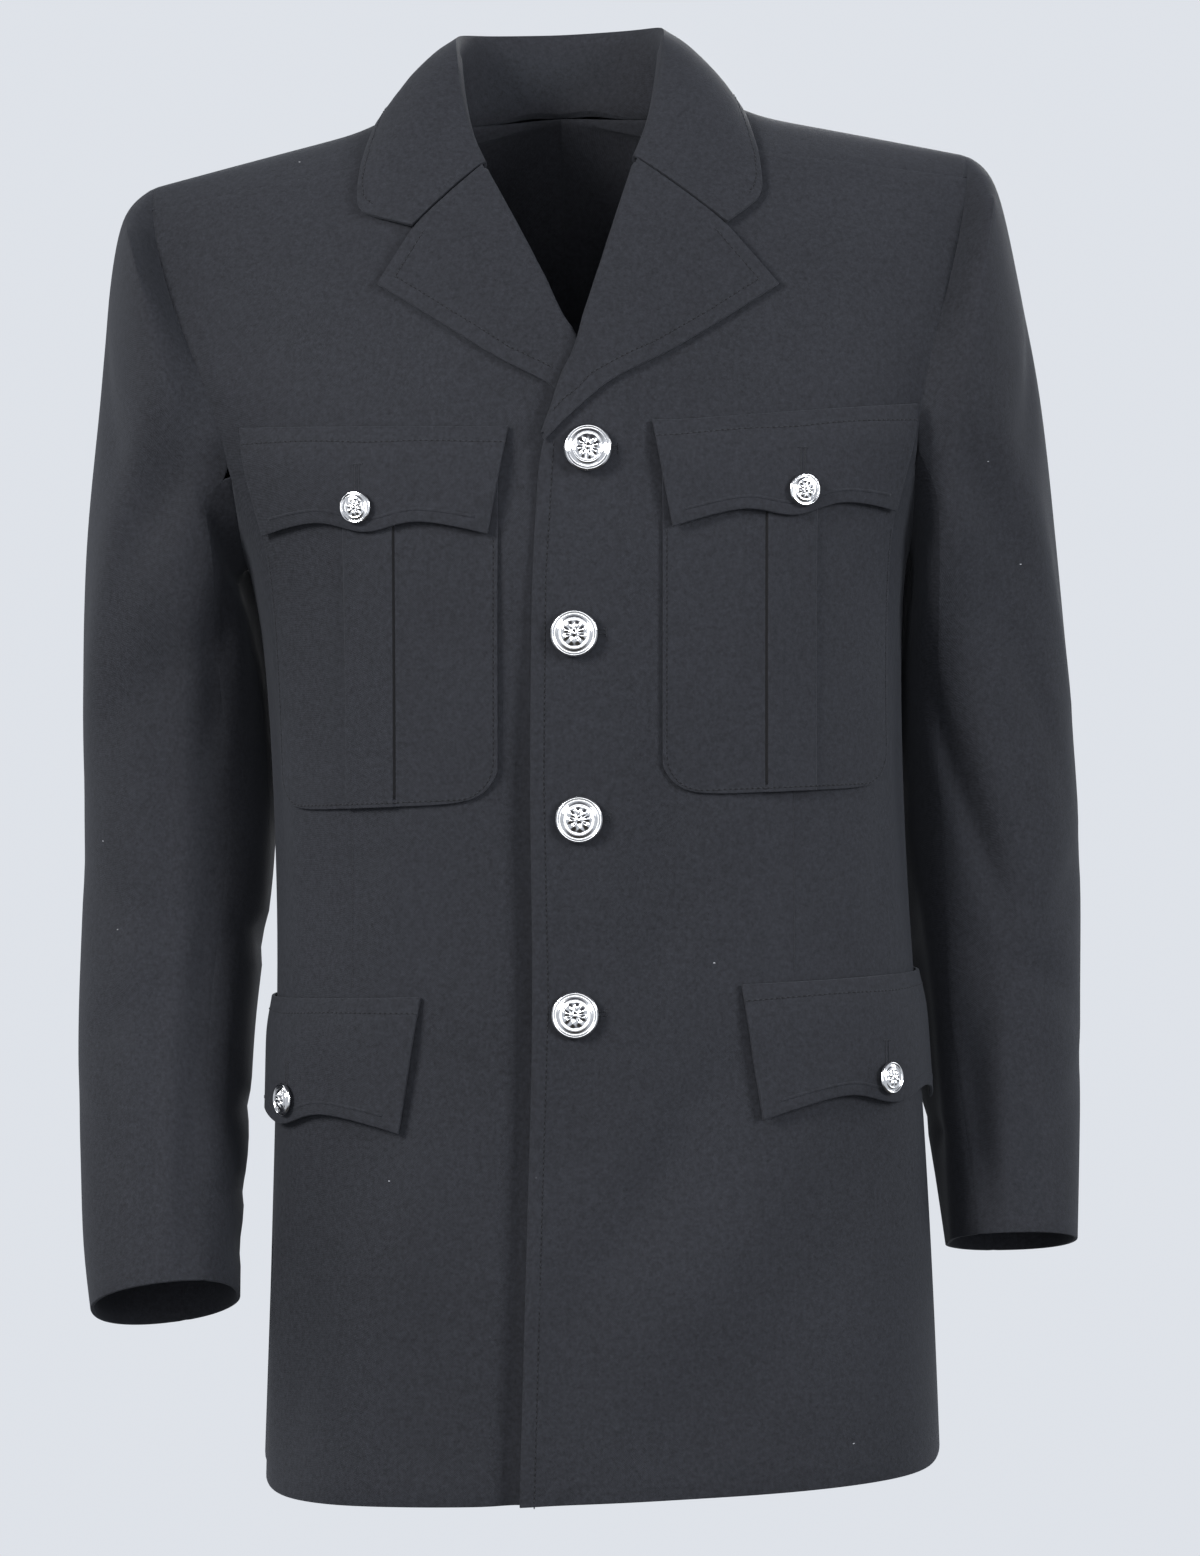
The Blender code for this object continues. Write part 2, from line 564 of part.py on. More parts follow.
def curve_points(points, places):
    """Points of the Catmull-Rom curve through a list of points, or of rows of points."""
    points = np.asarray(points, float)
    padded = np.concatenate([[2 * points[0] - points[1]], points, [2 * points[-1] - points[-2]]])
    start = np.clip(np.floor(places).astype(int), 0, len(points) - 2)
    t = (places - start).reshape((-1,) + (1,) * (points.ndim - 1))
    a, b, c, d = (padded[start + k] for k in range(4))
    return b + 0.5 * t * (c - a + t * (2 * a - 5 * b + 4 * c - d + t * (3 * (b - c) + d - a)))


def grid_normals(grid):
    """Directions square to a grid of points."""
    normals = np.cross(np.gradient(grid, axis=0), np.gradient(grid, axis=1))
    return normals / np.linalg.norm(normals, axis=-1, keepdims=True)


def neck_edge(row):
    """How far out the neckline is, at rows that are positive in front and negative behind."""
    points = sorted([(-row, out) for row, out in BACK_NECK_EDGE] + list(FRONT_NECK_EDGE))
    rows, outs = np.array(points).T
    return np.interp(row, rows, outs)


def at_neck(row, out, sign, lift=0.0):
    """A point above the torso at a distance out, with the outward direction there."""
    theta = sign * theta_out(abs(row), out, row < 0)
    normal = torso_normal(abs(row), theta)
    return torso(abs(row), theta) + normal * lift, normal


def neck_corner(row, sign):
    """A point of the neckline, the outward direction there and the way into the neck opening."""
    edge, normal = at_neck(row, float(neck_edge(row)), sign)
    inward = np.array([0, 0.006, edge[2]]) - edge
    inward -= normal * (inward @ normal)
    return edge, normal, inward / np.linalg.norm(inward)


def panels_near_neck(sign):
    """Points of the panels beside the neckline, and their outward directions."""
    rows, outs = np.meshgrid(np.linspace(0, 3.2, 65), np.linspace(0.0, 0.16, 65), indexing="ij")
    points = []
    normals = []
    for behind in (False, True):
        on_panel = outs > neck_edge(-rows if behind else rows)
        theta = sign * theta_out(rows, outs, behind)
        points.append(torso(rows, theta)[on_panel])
        normals.append(torso_normal(rows, theta)[on_panel])
    return np.concatenate(points), np.concatenate(normals)


def above_panels(point, near):
    """The point, moved out where it would be too near the panels."""
    points, normals = near
    nearest = np.argmin(np.linalg.norm(points - point, axis=1))
    distance = (point - points[nearest]) @ normals[nearest]
    need = COLLAR_WALL / 2 + COLLAR_CLEARANCE
    return point + normals[nearest] * max(need - distance, 0)


def collar_section(station, sign, near):
    """The middle of the cloth at one station, from the leaf edge up over the fold to the foot."""
    fold_x, fold_y, fold_z, leaf_x, leaf_row, bulge, foot_row = station
    fold = np.array([sign * fold_x, fold_y, fold_z + sign * LEAN * fold_x])
    leaf, _ = at_neck(leaf_row, leaf_x, sign, COLLAR_WALL / 2 + COLLAR_CLEARANCE)
    edge, normal, inward = neck_corner(foot_row, sign)
    away = np.array([sign * fold_x * 0.6, fold_y, 0.02])
    away /= np.linalg.norm(away)
    fall = []
    for share in COLLAR_FALL_SHARES:
        point = leaf + (fold - leaf) * share + away * bulge * math.sin(math.pi * share)
        fall.append(above_panels(point, near))
    drop = np.array([0, 0, COLLAR_FOLD_RADIUS])
    outside = fold - drop
    top = fold - away * COLLAR_FOLD_RADIUS
    inside = fold - away * 2 * COLLAR_FOLD_RADIUS - drop
    up = inside - edge
    up /= np.linalg.norm(up)
    beside = inward - normal
    beside -= up * (beside @ up)
    beside /= np.linalg.norm(beside)
    foot = edge + beside * (COLLAR_WALL / 2 + NECK_GAP) + inward * NECK_INSET
    return [leaf, *fall, outside, top, inside, (inside + foot) / 2, foot]


def gorge(top, sign, lift_of, shares):
    """The collar's edge beside the lapel's, at shares of the way from the notch to the roll line."""
    (roll_height, roll_reach), (notch_height, notch_reach) = top[:2]
    shares = np.asarray(shares, float)
    along = np.array([sign * (notch_reach - roll_reach), notch_height - roll_height])
    along /= np.linalg.norm(along)
    height = notch_height + (roll_height - notch_height) * shares + along[0] * GORGE_GAP
    reach = notch_reach + (roll_reach - notch_reach) * shares - sign * along[1] * GORGE_GAP
    rise = LAPEL_ROLL * np.sin(math.pi * NOTCH_ACROSS * (1 - shares))
    lift = lift_of(reach, height) + SEWN_LIFT + rise + TRIM_WALL / 2
    row = row_at(height)
    theta = theta_at(row, reach)
    return torso(row, theta) + torso_normal(row, theta) * lift[:, None]


def collar_end(station, sign, top, lift_of):
    """The collar's front end: leaf corner, notch, along the lapel, then round the neckline."""
    leaf, _ = at_neck(station[4], station[3], sign, COLLAR_WALL / 2 + COLLAR_CLEARANCE)
    shares = [(share - NOTCH_SHARE) / (1 - NOTCH_SHARE) for share in COLLAR_FALL_SHARES[1:]]
    beside_lapel = gorge(top, sign, lift_of, shares)
    edge, normal, inward = neck_corner(station[6], sign)
    roll = [edge + inward * across + normal * out for across, out in COLLAR_END_ROLL]
    return [leaf, (leaf + beside_lapel[0]) / 2, *beside_lapel, *roll]


def empty_scene():
    for thing in list(bpy.data.objects):
        bpy.data.objects.remove(thing, do_unlink=True)


def unit(directions):
    return directions / np.linalg.norm(directions, axis=-1, keepdims=True)


def armhole_half(sign, behind):
    """Half an armhole from the ridge down: rows, points, outward directions, shares of its length."""
    rows = np.concatenate([np.linspace(0, 5, 41), ARMPIT_ROW - np.linspace(1, 0, 41)[1:] ** 2])
    theta = sign * armhole(rows, behind)
    points = torso(rows, theta)
    along = np.concatenate([[0], np.cumsum(np.linalg.norm(np.diff(points, axis=0), axis=1))])
    return rows, points, torso_normal(rows, theta), along / along[-1]


def sleeve_start(sign, psi):
    """The armhole at angles that are 0 at the shoulder tip, positive in front and pi at the armpit.

    With it come the body's outward directions and the ways out of the armhole, along the cloth.
    """
    points = np.empty((len(psi), 3))
    normals = np.empty((len(psi), 3))
    for behind in (False, True):
        _, line, directions, share = armhole_half(sign, behind)
        here = (psi < 0) == behind
        at = np.abs(psi[here]) / math.pi
        for axis in range(3):
            points[here, axis] = np.interp(at, share, line[:, axis])
            normals[here, axis] = np.interp(at, share, directions[:, axis])
    normals = unit(normals)
    away = unit(-sign * np.cross(np.gradient(points, axis=0), normals))
    away[0] = away[-1] = unit(away[0] + away[-1])
    return points, normals, away


def sleeve_power(value):
    return np.sign(value) * np.abs(value) ** (2 / SLEEVE_SQUARENESS)


def sleeve_rings(sign, rows, psi):
    """The rings of a sleeve at the same angles, without the one at the armhole."""
    rings = []
    for out, y, z, half_breadth, half_depth, tip, forward in rows:
        tip = math.radians(tip)
        forward = math.radians(forward)
        middle = np.array([sign * out, y, z])
        outward = np.array([sign * math.cos(tip), 0, math.sin(tip)])
        ahead = np.array([0, -math.cos(forward), math.sin(forward)])
        rings.append(middle + half_breadth * np.outer(sleeve_power(np.cos(psi)), outward)
                     + half_depth * np.outer(sleeve_power(np.sin(psi)), ahead))
    return rings


def clear_of_body(points, sign):
    """Sleeve points, moved out where they are too near the body's side below the armpit."""
    x, y, z = np.moveaxis(points, -1, 0)
    row = row_at(z - LEAN * x)
    depth = np.where(y < 0, spline(TORSO["front"], row), spline(TORSO["back"], row))
    ahead = np.clip(np.abs(y) / depth, 0, 1) ** SQUARENESS
    half_width = spline(TORSO["half_width"], row)
    side = sign * spline(TORSO["centre"], row) + half_width * (1 - ahead) ** (1 / SQUARENESS)
    near = ARMPIT_CLEARANCE + (SLEEVE_CLEARANCE - ARMPIT_CLEARANCE) * smoothstep((row - ARMPIT_ROW) / 0.45)
    near = near + FLAP_CLEARANCE * smoothstep((row - FLAP_CLEARANCE_ROW) / 0.6)
    need = np.where(row > ARMPIT_ROW, side + near - sign * x, 0)
    points = points.copy()
    points[..., 0] += sign * np.maximum(need, 0)
    return points


def sleeve_angles():
    """The angles of the armhole's grid points, split at the two sleeve seams: top, then under."""
    behind = [row for row in (ARMPIT_ROW,) + UPPER_BACK_ROWS + BACK_STRAP_ROWS if row > 0]
    ahead = sorted([0.0] + [-row for row in BACK_STRAP_ROWS if row < 0]
                   + list(front_rows(np.array([1.0]))[len(LOWER_ROWS) - 1:, 0]))
    rows, _, _, share = armhole_half(1, True)
    back = -math.pi * np.interp(behind, rows, share)
    rows, _, _, share = armhole_half(1, False)
    front = math.pi * np.interp(ahead, rows, share)
    back_split = int(np.argmin(np.abs(np.array(behind) - SLEEVE_BACK_SEAM_ROW)))
    front_split = int(np.argmin(np.abs(np.array(ahead) - SLEEVE_FRONT_SEAM_ROW)))
    top = np.concatenate([back[back_split:], front[:front_split + 1]])
    under = np.concatenate([front[front_split:], back[1:back_split + 1] + 2 * math.pi])
    for angles in (top, under):
        angles[0] += SLEEVE_SEAM_TURN
        angles[-1] -= SLEEVE_SEAM_TURN
    return top, under


def sleeve(parts, side, sign, rows):
    """A sleeve cut in two pieces, with a seam inside the front and one at the back."""
    close_rows = np.arange(0, SLEEVE_CLOSE_ROWS, 0.5)
    places = np.concatenate([close_rows, np.arange(SLEEVE_CLOSE_ROWS, len(rows) + 0.5)])
    whole = np.linspace(-math.pi, math.pi, 181)
    start, body_out, away = sleeve_start(sign, whole)
    rings = sleeve_rings(sign, rows, whole)
    turned_out = smoothstep(np.sum(unit(rings[0] - start) * body_out, axis=-1) / SLEEVE_FULL_TURN)[:, None]
    first = start + away * SLEEVE_GAP + body_out * turned_out * SLEEVE_GAP
    surface = curve_points(np.array([first, *rings]), places)
    surface[1:] = clear_of_body(surface[1:], sign)
    normals = sign * np.cross(np.gradient(surface, axis=1), np.gradient(surface, axis=0))
    normals[:, 0] = normals[:, -1] = normals[:, 1] + normals[:, -2]
    normals = unit(normals)
    normals[0] = unit(body_out + (normals[0] - body_out) * turned_out)
    for name, angles in zip(("top_sleeve", "under_sleeve"), sleeve_angles()):
        angles = (angles + math.pi) % (2 * math.pi) - math.pi
        grid = np.empty((2, len(places), len(angles), 3))
        for i in range(len(places)):
            for axis in range(3):
                grid[0, i, :, axis] = np.interp(angles, whole, surface[i, :, axis])
                grid[1, i, :, axis] = np.interp(angles, whole, normals[i, :, axis])
        wall(parts, f"{name}_{side}", grid[0], grid[0] - unit(grid[1]) * SLEEVE_WALL)


def collar(parts):
    """The collar, one leaf folded over its stand, from notch to notch round the back."""
    places = np.linspace(0, len(COLLAR_ROWS) - 1, COLLAR_STATIONS // 2 + 1)
    stations = curve_points(COLLAR_ROWS, places)
    halves = []
    for sign, top, lift_of in ((1, LEFT_LAPEL_TOP, left_lift), (-1, RIGHT_LAPEL_TOP, no_lift)):
        near = panels_near_neck(sign)
        sections = [collar_section(station, sign, near) for station in stations[1:]]
        halves.append([collar_end(COLLAR_ROWS[0], sign, top, lift_of)] + sections)
    left, right = (np.array(half) for half in halves)
    middle = np.concatenate([left, right[-2::-1]])
    normals = grid_normals(middle)
    wall(parts, "collar", middle + normals * COLLAR_WALL / 2, middle - normals * COLLAR_WALL / 2)


def main():
    empty_scene()
    parts = collection()
    front_panel(parts, "front_left", 1, LEFT_EDGE, left_lift)
    front_panel(parts, "front_right", -1, RIGHT_EDGE, no_lift)
    for side, sign in (("left", 1), ("right", -1)):
        back_panel(parts, f"back_{side}", sign)
    lapel(parts, "lapel_left", 1, LEFT_EDGE, LEFT_LAPEL_TOP, LEFT_LAPEL_EDGE, left_lift)
    lapel(parts, "lapel_right", -1, RIGHT_EDGE, RIGHT_LAPEL_TOP, RIGHT_LAPEL_EDGE, no_lift)
    collar(parts)
    sleeve(parts, "left", 1, LEFT_SLEEVE_ROWS)
    sleeve(parts, "right", -1, RIGHT_SLEEVE_ROWS)
    chest_flap = (CHEST_CENTRE, CHEST_FLAP_TOP, CHEST_FLAP_DROP, CHEST_FLAP_POINT, CHEST_FLAP_CORNER,
                  CHEST_FLAP_RISE, CHEST_FLAP_HALF_TOP, CHEST_FLAP_HALF_BOTTOM, CHEST_FLAP_STAND)
    skirt_flap = (SKIRT_CENTRE, SKIRT_FLAP_TOP, SKIRT_FLAP_DROP, SKIRT_FLAP_POINT, SKIRT_FLAP_CORNER,
                  0, SKIRT_FLAP_HALF_TOP, SKIRT_FLAP_HALF_BOTTOM, SKIRT_FLAP_STAND)
    for side, sign, lift_of in (("left", 1, left_lift), ("right", -1, no_lift)):
        chest_pocket(parts, f"chest_pocket_{side}", sign, lift_of)
        flap(parts, f"chest_flap_{side}", sign, chest_flap, lift_of)
        flap(parts, f"skirt_flap_{side}", sign, skirt_flap, no_lift)
        button(parts, f"chest_button_{side}", sign, CHEST_BUTTON, SMALL_BUTTON_RADIUS,
               CHEST_FLAP_STAND + TRIM_WALL + SEWN_LIFT)
        button(parts, f"skirt_button_{side}", sign, SKIRT_BUTTON, SMALL_BUTTON_RADIUS,
               SKIRT_FLAP_STAND + TRIM_WALL + SEWN_LIFT)
    for number, (height, reach) in enumerate(FRONT_BUTTONS, 1):
        lift = float(left_lift(reach, height))
        button(parts, f"front_button_{number}", 1, (height, reach), FRONT_BUTTON_RADIUS, lift)


main()
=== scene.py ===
"""The look of a police-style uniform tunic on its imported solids: cloth, folds, stitching, buttons.

Metres, in the solids' own frame: +Z up, the garment faces -Y and its left is +X.
"""

import math

import bmesh
import bpy
import numpy as np
from mathutils import Matrix, Vector
from mathutils.bvhtree import BVHTree
from mathutils.kdtree import KDTree


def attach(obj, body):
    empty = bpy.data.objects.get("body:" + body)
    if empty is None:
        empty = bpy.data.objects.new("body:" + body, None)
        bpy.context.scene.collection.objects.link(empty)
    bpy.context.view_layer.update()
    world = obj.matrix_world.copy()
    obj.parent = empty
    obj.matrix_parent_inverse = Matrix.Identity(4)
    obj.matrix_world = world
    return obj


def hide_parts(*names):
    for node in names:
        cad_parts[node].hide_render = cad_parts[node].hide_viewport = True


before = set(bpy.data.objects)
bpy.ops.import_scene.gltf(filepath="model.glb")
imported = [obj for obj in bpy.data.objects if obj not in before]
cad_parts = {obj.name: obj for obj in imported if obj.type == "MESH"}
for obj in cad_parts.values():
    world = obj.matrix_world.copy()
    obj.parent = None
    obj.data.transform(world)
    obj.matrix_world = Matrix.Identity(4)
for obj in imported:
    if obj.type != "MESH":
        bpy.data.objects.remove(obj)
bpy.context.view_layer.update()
scene = bpy.context.scene

# Sizes
TOPSTITCH_IN = 0.0076
EDGE_STITCH_IN = 0.0022
STITCH_PITCH = 0.0031
STITCH_LENGTH = 0.0024
STITCH_RADIUS = 0.00042
EDGE_ROUND = 0.0008
SIDES = {"left": 1, "right": -1}

# Seams: how far rims are drawn together, the run over which that fades in, and its strength.
SEAM_REACH = 0.0028
SEAM_FADE = 0.0014
SEAM_DRAW = 0.54
COLLAR_FOOT_REACH = 0.0075
ARMHOLE_FADE = (0.004, 0.035)

# The hem beside the side seams: its rise, its breadth, and the heights between which it grows.
HEM_ROUND = {"left": 0.011, "right": 0.021}
SIDE_SEAM = 0.262
HEM_BREADTH = 0.052
HEM_TOP = -0.58
HEM_RUN = 0.19

# The front edge: how far the left rim stands off, and the hollow in the right front beside it.
RIM_LIFT = 0.0034
RIM_WIDTH = 0.012
HOLLOW_DEPTH = 0.0048
HOLLOW_WIDTH = 0.009
HOLLOW_IN = 0.003

# The torso: place of the button line, tilt, form of its sections, fall and rise of the shoulder.
BUTTON_LINE = 0.012
LEAN = 0.04
SQUARENESS = 2.5
FALL_START = 0.075
FALL_SOFTNESS = 0.050
NECK_RISE = 0.036
NECK_REACH = 0.12

# The oval that the panels' folds are laid out on: centre, half width, half depth, radius.
OVAL_CENTRE = 0.018
OVAL_HALF_WIDTH = 0.18
OVAL_HALF_DEPTH = 0.12
OVAL_RADIUS = 0.158

# Sockets of a colour mix node.
MIX_A = 6
MIX_B = 7
MIX_RESULT = 2

# The torso's sections, as in the solids: height, front, back, half width, centre, fall.
TORSO_ROWS = (
    (0.000, 0.000, 0.000, 0.2620, 0.0000, 0.235),
    (-0.018, 0.036, 0.036, 0.2600, 0.0000, 0.232),
    (-0.050, 0.064, 0.066, 0.2550, 0.0005, 0.215),
    (-0.095, 0.091, 0.092, 0.2460, 0.0020, 0.180),
    (-0.145, 0.112, 0.108, 0.2310, 0.0050, 0.120),
    (-0.200, 0.124, 0.116, 0.2090, 0.0080, 0.050),
    (-0.255, 0.128, 0.116, 0.1870, 0.0110, 0.000),
    (-0.310, 0.127, 0.111, 0.1805, 0.0135, 0.000),
    (-0.380, 0.123, 0.103, 0.1785, 0.0160, 0.000),
    (-0.460, 0.120, 0.098, 0.1790, 0.0190, 0.000),
    (-0.540, 0.121, 0.106, 0.1825, 0.0215, 0.000),
    (-0.620, 0.123, 0.116, 0.1860, 0.0230, 0.000),
    (-0.700, 0.125, 0.121, 0.1890, 0.0238, 0.000),
    (-0.772, 0.127, 0.124, 0.1915, 0.0240, 0.000),
)
SECTIONS = np.array(TORSO_ROWS).T
SECTION_ANGLES = np.linspace(-2.4, 2.4, 241)

# Flaps: middle along the cloth, top, drop, point, corners, rise of the outer end, half widths.
CHEST_FLAP = (0.1160, -0.1903, 0.0485, 0.0070, 0.0080, 0.0185, 0.0775, 0.0665)
SKIRT_FLAP = (0.1830, -0.4955, 0.0620, 0.0085, 0.0120, 0.0, 0.0955, 0.0845)
FLAP_ARC = 0.33
FLAP_POINT_WIDTH = 0.26
FLAP_ARC_POWER = 1.5
FLAP_RISE_POWER = 1.3
FLAP_RIDGE_IN = 0.0062

# Pocket: middle along the cloth, half width, top, bottom, corner radius, half width of the pleat.
CHEST_POCKET = (0.1160, 0.0715, -0.2090, -0.3915, 0.022, 0.0140)

# Front edges and lapel edges: height and distance along the cloth from the button line.
LEFT_EDGE = (
    (-0.772, -0.0320), (-0.620, -0.0280), (-0.500, -0.0245), (-0.380, -0.0270),
    (-0.270, -0.0260), (-0.2005, -0.0216), (-0.149, -0.0016), (-0.0425, 0.0312),
)
RIGHT_EDGE = ((-0.2005, 0.0210), (-0.149, -0.0016), (-0.0425, -0.0549))
LEFT_LAPEL = (
    (-0.0775, 0.0800), (-0.1085, 0.1090), (-0.134, 0.0760), (-0.156, 0.0432),
    (-0.173, 0.0108), (-0.1960, -0.0150),
)
RIGHT_LAPEL = (
    (-0.0740, -0.0925), (-0.1020, -0.1120), (-0.131, -0.0756), (-0.155, -0.0432),
    (-0.168, -0.0190),
)

# Soft folds of the panels: from and to along the cloth and in height, half width, depth.
# A negative depth stands out.
PANEL_FOLDS = (
    (0.064, -0.538, -0.008, -0.674, 0.012, 0.0050),
    (0.108, -0.556, 0.012, -0.724, 0.018, -0.0036),
    (0.056, -0.434, 0.020, -0.496, 0.010, 0.0036),
    (0.150, -0.585, 0.050, -0.745, 0.022, 0.0026),
    (0.040, -0.395, 0.015, -0.480, 0.012, 0.0022),
    (0.065, -0.400, 0.045, -0.480, 0.013, -0.0020),
    (0.165, -0.400, 0.150, -0.490, 0.015, 0.0022),
    (-0.055, -0.400, -0.080, -0.560, 0.018, 0.0024),
    (-0.090, -0.400, -0.105, -0.480, 0.013, -0.0022),
    (-0.150, -0.400, -0.140, -0.480, 0.014, 0.0022),
    (-0.075, -0.580, -0.120, -0.760, 0.020, -0.0030),
    (-0.135, -0.590, -0.160, -0.750, 0.018, 0.0030),
    (-0.205, -0.300, -0.190, -0.440, 0.018, 0.0028),
    (-0.216, -0.640, -0.222, -0.770, 0.009, 0.0042),
    (-0.190, -0.600, -0.196, -0.760, 0.014, -0.0022),
    (0.205, -0.300, 0.195, -0.450, 0.018, 0.0028),
    (0.160, -0.100, 0.182, -0.180, 0.013, 0.0024),
    (-0.160, -0.110, -0.178, -0.190, 0.013, 0.0024),
    (0.030, -0.215, 0.060, -0.255, 0.010, 0.0014),
    (-0.030, -0.220, -0.055, -0.270, 0.010, 0.0014),
    (0.370, -0.200, 0.330, -0.340, 0.024, 0.0042),
    (-0.370, -0.200, -0.330, -0.340, 0.024, 0.0042),
    (0.350, -0.460, 0.385, -0.740, 0.026, -0.0040),
    (-0.345, -0.460, -0.380, -0.740, 0.026, -0.0038),
    (0.420, -0.480, 0.440, -0.740, 0.022, 0.0032),
    (-0.415, -0.500, -0.430, -0.740, 0.022, 0.0030),
    (0.300, -0.400, 0.400, -0.430, 0.014, 0.0028),
    (-0.300, -0.390, -0.400, -0.420, 0.014, 0.0026),
)

# Sleeve axes and the folds on them: angle round the sleeve in degrees (0 outwards, 90 in front)
# and height at both ends, half width, depth.
SLEEVE_AXES = {
    "left": (
        (0.2300, 0.0, -0.10), (0.2330, 0.006, -0.19), (0.240, 0.02, -0.28), (0.2430, 0.040, -0.345),
        (0.2475, 0.046, -0.42), (0.2550, 0.048, -0.50), (0.2550, 0.040, -0.56),
        (0.2574, 0.012, -0.644),
    ),
    "right": (
        (-0.2200, 0.0, -0.10), (-0.2200, 0.006, -0.19), (-0.2210, 0.02, -0.28),
        (-0.2200, 0.036, -0.34), (-0.2190, 0.036, -0.42), (-0.2245, 0.022, -0.507),
        (-0.2236, -0.010, -0.605), (-0.2200, -0.040, -0.673),
    ),
}
SLEEVE_FOLDS = {
    "left": (
        (30, -0.12, 78, -0.22, 0.013, 0.0034), (112, -0.17, 72, -0.27, 0.011, 0.0046),
        (90, -0.16, 60, -0.24, 0.012, -0.0026),
        (62, -0.20, 30, -0.33, 0.016, -0.0034),
        (119, -0.330, 89, -0.456, 0.0065, 0.0062), (106, -0.310, 79, -0.430, 0.010, -0.0042),
        (92, -0.26, 50, -0.38, 0.010, 0.0034), (100, -0.22, 106, -0.31, 0.0070, -0.0036),
        (94, -0.47, 98, -0.645, 0.0065, -0.0032), (112, -0.50, 108, -0.63, 0.010, 0.0028),
        (150, -0.46, 200, -0.48, 0.008, 0.0030), (140, -0.585, 205, -0.575, 0.007, 0.0034),
        (20, -0.42, 70, -0.46, 0.012, 0.0034), (110, -0.47, 40, -0.51, 0.013, 0.0036),
        (70, -0.39, 88, -0.60, 0.016, -0.0024), (15, -0.54, 80, -0.58, 0.011, 0.0022),
        (-60, -0.15, -95, -0.30, 0.018, 0.0034), (-120, -0.40, -40, -0.45, 0.015, 0.0030),
        (-110, -0.47, -30, -0.50, 0.014, 0.0028), (-75, -0.52, -90, -0.63, 0.016, -0.0020),
    ),
    "right": (
        (32, -0.13, 80, -0.23, 0.013, 0.0032), (118, -0.17, 80, -0.25, 0.011, 0.0048),
        (96, -0.15, 66, -0.23, 0.012, -0.0028),
        (104, -0.18, 62, -0.29, 0.012, 0.0036), (100, -0.23, 100, -0.47, 0.0070, -0.0036),
        (100, -0.47, 98, -0.67, 0.0065, -0.0034), (126, -0.22, 110, -0.36, 0.009, 0.0046),
        (118, -0.40, 116, -0.62, 0.012, 0.0026), (130, -0.464, 205, -0.474, 0.008, 0.0046),
        (130, -0.560, 205, -0.568, 0.007, 0.0038), (135, -0.606, 205, -0.612, 0.006, 0.0034),
        (140, -0.640, 205, -0.645, 0.006, 0.0030), (140, -0.520, 200, -0.515, 0.012, -0.0020),
        (64, -0.24, 34, -0.36, 0.016, -0.0030), (118, -0.29, 60, -0.35, 0.013, 0.0036),
        (24, -0.43, 98, -0.47, 0.013, 0.0034), (112, -0.49, 44, -0.53, 0.013, 0.0030),
        (74, -0.40, 84, -0.63, 0.016, -0.0024), (20, -0.56, 84, -0.60, 0.011, 0.0024),
        (-62, -0.16, -92, -0.31, 0.018, 0.0034), (-118, -0.41, -44, -0.46, 0.015, 0.0030),
        (-108, -0.48, -34, -0.52, 0.014, 0.0028), (-72, -0.54, -88, -0.65, 0.016, -0.0020),
    ),
}

SLEEVE_RADIUS = 0.058

# Between these heights the back of a sleeve's inner side fills out, leaving a gap to the body.
SLEEVE_REST = {"left": (-0.215, -0.400), "right": (-0.225, -0.420)}
SLEEVE_FILL = 0.020
BODY_GAP = 0.0035
BODY_LOOK = 0.05

# How far each button is turned, in degrees.
BUTTONS = {
    "front_button_1": 12, "front_button_2": -20, "front_button_3": 6, "front_button_4": 30,
    "chest_button_left": 8, "chest_button_right": -12, "skirt_button_left": 20, "skirt_button_right": 4,
}


def smoothstep(value):
    value = np.clip(value, 0.0, 1.0)
    return value * value * (3 - 2 * value)


# Where things are on the torso


def section(name, row):
    """A column of the torso's sections on a smooth curve through its rows."""
    values = SECTIONS[name]
    mirrored = -SECTIONS[3 - name][1] if name in (1, 2) else values[1]
    table = np.concatenate([[mirrored], values, [2 * values[-1] - values[-2]]])
    start = np.clip(np.floor(row).astype(int), 0, len(table) - 4)
    t = row - start
    a, b, c, d = (table[start + k] for k in range(4))
    return b + 0.5 * t * (c - a + t * (2 * a - 5 * b + 4 * c - d + t * (3 * (b - c) + d - a)))


def power(value):
    return np.sign(value) * np.abs(value) ** (2 / SQUARENESS)


def torso(row, theta):
    """The torso's surface: theta is 0 in front, positive to the left and pi behind."""
    row, theta = np.broadcast_arrays(np.asarray(row, float), np.asarray(theta, float))
    in_front = np.cos(theta) >= 0
    out = section(3, row) * power(np.sin(theta))
    depth = np.where(in_front, section(1, row), section(2, row))
    x = section(4, row) + out
    fall = section(5, row) * (np.hypot(out, FALL_SOFTNESS) - math.hypot(FALL_START, FALL_SOFTNESS))
    near_neck = np.clip(1 - (out / NECK_REACH) ** 2, 0, 1) ** 2
    fade = np.where(in_front, smoothstep(1 - row / 1.8), smoothstep((4.6 - row) / 2.4))
    z = section(0, row) - fall + NECK_RISE * near_neck * fade + LEAN * x
    return np.stack([x, -depth * power(np.cos(theta)), z], axis=-1)


def torso_normal(row, theta):
    across = torso(row, theta + 0.02) - torso(row, theta - 0.02)
    down = torso(row + 0.02, theta) - torso(row - 0.02, theta)
    normal = np.cross(down, across)
    return normal / np.linalg.norm(normal, axis=-1, keepdims=True)


ROWS = np.linspace(0, len(TORSO_ROWS) - 1, 521)
HEIGHTS = section(0, ROWS)


def row_at(height):
    return np.interp(-np.asarray(height, float), -HEIGHTS, ROWS)


